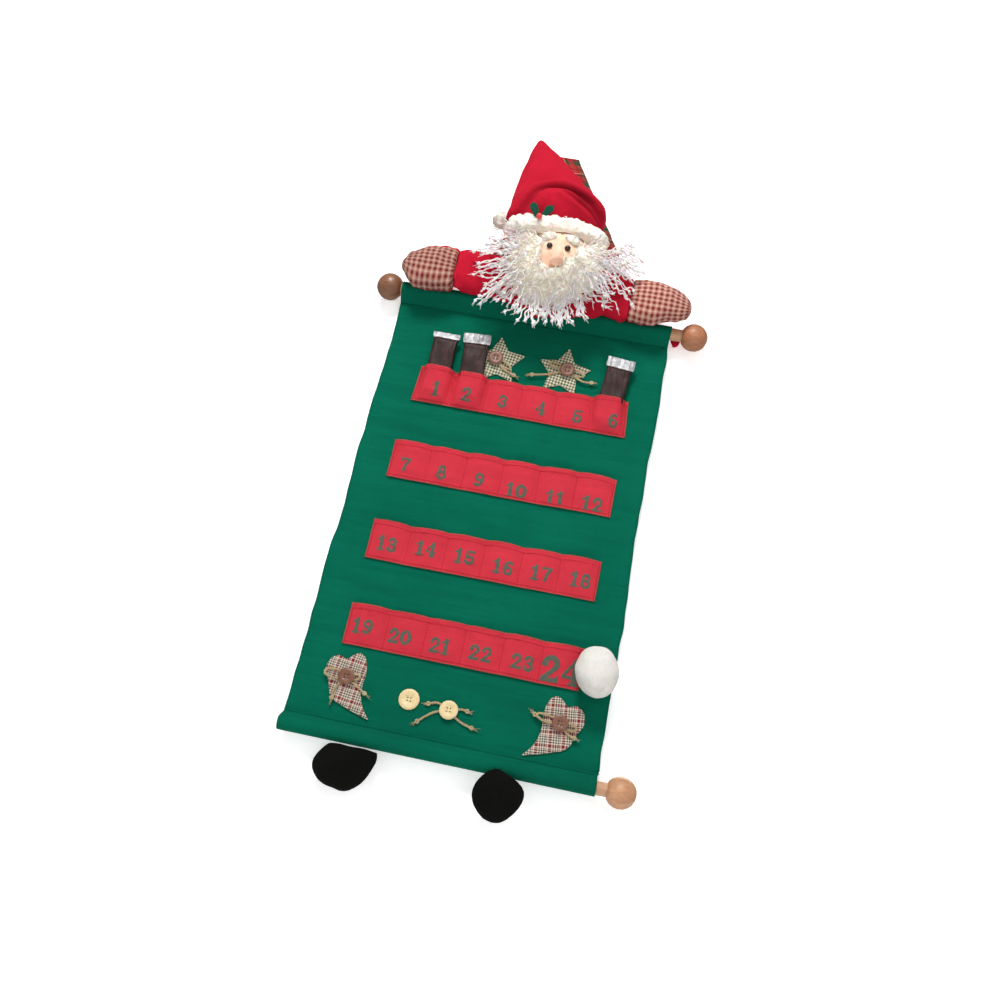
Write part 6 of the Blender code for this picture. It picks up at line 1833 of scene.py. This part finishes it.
FIRST_MIDDLE = (row_left(0) + ROW_RIGHT) / 2
FIRST_HALF = ROW_RIGHT - FIRST_MIDDLE
STAR_Z = FIRST_ROW - 0.00175 + STAR_RADIUS * math.cos(math.pi / 5)
HEART_Z = BOTTOM_SEAM + 0.00442 + 0.62 * HEART_HEIGHT
for star_name, star_share, star_turn in (("star_left", -0.285, -4), ("star_right", 0.335, 3)):
    make_applique(f"padded_{star_name}", star_name, star_outline(math.radians(-star_turn)),
                  (FIRST_MIDDLE + star_share * FIRST_HALF, STAR_Z), CUT_STEP, STAR,
                  math.radians(8))
for heart_name, heart_share, heart_side, heart_drop in (("heart_left", -0.677, 1, 0.0),
                                                        ("heart_right", 0.7285, -1, 0.0025)):
    make_applique(f"padded_{heart_name}", heart_name, heart_outline(heart_side),
                  (heart_share * HALF_BOTTOM, HEART_Z - heart_drop), CUT_STEP, HEART,
                  math.radians(6 * heart_side))

# Twine bows
BOW_REACH = 0.020
BOW_LOOPS = {
    "star_left": ((0.85, -0.45, 0.125),),
    "star_right": ((-0.95, 0.25, 0.15), (0.9, -0.15, 0.14)),
    "heart_left": ((-1.05, 0.05, 0.21), (0.625, 0.075, 0.125)),
    "heart_right": ((-1.1, 0.175, 0.16), (0.75, -0.15, 0.15)),
    "tied_button": (),
}
BOW_TAILS = {
    "star_left": (((0.5, -0.5), (1.2, -0.8)),),
    "star_right": (((-0.95, -0.4), (-1.85, -0.6)), ((0.8, -0.45), (1.45, -0.45))),
    "heart_left": (((-0.4, -0.6), (-0.45, -1.2)), ((0.65, -0.4), (1.1, -0.65))),
    "heart_right": (((-0.7, -0.05), (-1.3, 0.225)), ((0.4, -0.4), (0.85, -0.55))),
    "tied_button": (((-0.55, 0.225), (-1.1, 0.075)), ((-0.7, -0.25), (-1.4, -0.85)),
                    ((0.55, 0.15), (0.95, 0.1)), ((0.6, -0.4), (1.3, -0.6))),
}


def lay_twine(tubes, points, draw, frayed):
    """Two plies wound round each other along a path, with loose fibres at a frayed end."""
    path = spline(points, 0.0004)
    side, up = sides_of(path)
    run = np.arange(len(path)) * 0.0004
    for ply in range(2):
        turn = math.tau * run / 0.0048 + ply * math.pi
        line = path + 0.00055 * (np.cos(turn)[:, None] * side + np.sin(turn)[:, None] * up)
        tubes.add(line, 0.00066 + 0.00010 * np.sin(run * 2600 + ply), 6, draw.uniform(0, 0.01))
    for _ in range(int(run[-1] / 0.0022)):
        index = draw.randrange(2, len(path) - 4)
        way = side[index] * draw.uniform(-1, 1) + up[index] * draw.uniform(-0.2, 1) * -1
        tip = path[index + 3] + way * 0.0016 + np.array([0, -0.0003, 0])
        tubes.add([path[index], (path[index] + tip) / 2 + way * 0.0003, tip], [0.00016, 0.00012, 0.00006], 4)
    if frayed:
        end, before = path[-1], path[-6]
        ahead = (end - before) / np.linalg.norm(end - before)
        knot(tubes, end - ahead * 0.0024, 0.0023, draw, 1.8, 0.42)
        for _ in range(14):
            spread = np.array([draw.gauss(0, 0.35), draw.gauss(0, 0.12), draw.gauss(0, 0.35)])
            tip = end + (ahead + spread) * draw.uniform(0.0018, 0.0036)
            tip[1] = min(tip[1], end[1] + 0.0004)
            tubes.add([end - ahead * 0.001, (end + tip) / 2 + spread * 0.0005, tip],
                      [0.0003, 0.00024, 0.00012], 4)


def make_twine(label, button, back):
    draw = random.Random(len(label) * 31 + 7)
    spot = centre_of(button)
    middle = Vector((spot.x, back - 0.00125, spot.z))
    tubes = Tubes()
    knot(tubes, np.array(middle), 0.0030, draw, 2.2, 0.28)
    for across, up, width_share in BOW_LOOPS[label]:
        reach = BOW_REACH * Vector((across, 0, up))
        side = Vector((-up, 0, across)).normalized()
        root = 0.0019 * 0.55 * side
        belly = BOW_REACH * width_share * side
        end, end_belly = middle + reach * 0.9, belly * 0.7
        lift = Vector((0, -0.0014, 0))
        points = [middle + root, middle + reach / 2 + belly + lift, end + end_belly + lift,
                  middle + reach + lift,
                  end - end_belly + lift * 0.3, middle + reach / 2 - belly, middle - root]
        lay_twine(tubes, points, draw, False)
    for bends in BOW_TAILS[label]:
        points = [middle] + [middle + BOW_REACH * Vector((across, 0, up)) for across, up in bends]
        lay_twine(tubes, points, draw, True)
    bow = tubes.piece(f"{label}_bow", TWINE, "jute_twine")
    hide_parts(f"{label}_twine")


for twine_label in BOW_LOOPS:
    on_cloth = twine_label == "tied_button"
    make_twine(twine_label, "tied_button" if on_cloth else f"{twine_label}_button",
               PANEL if on_cloth else APPLIQUE_FRONT)
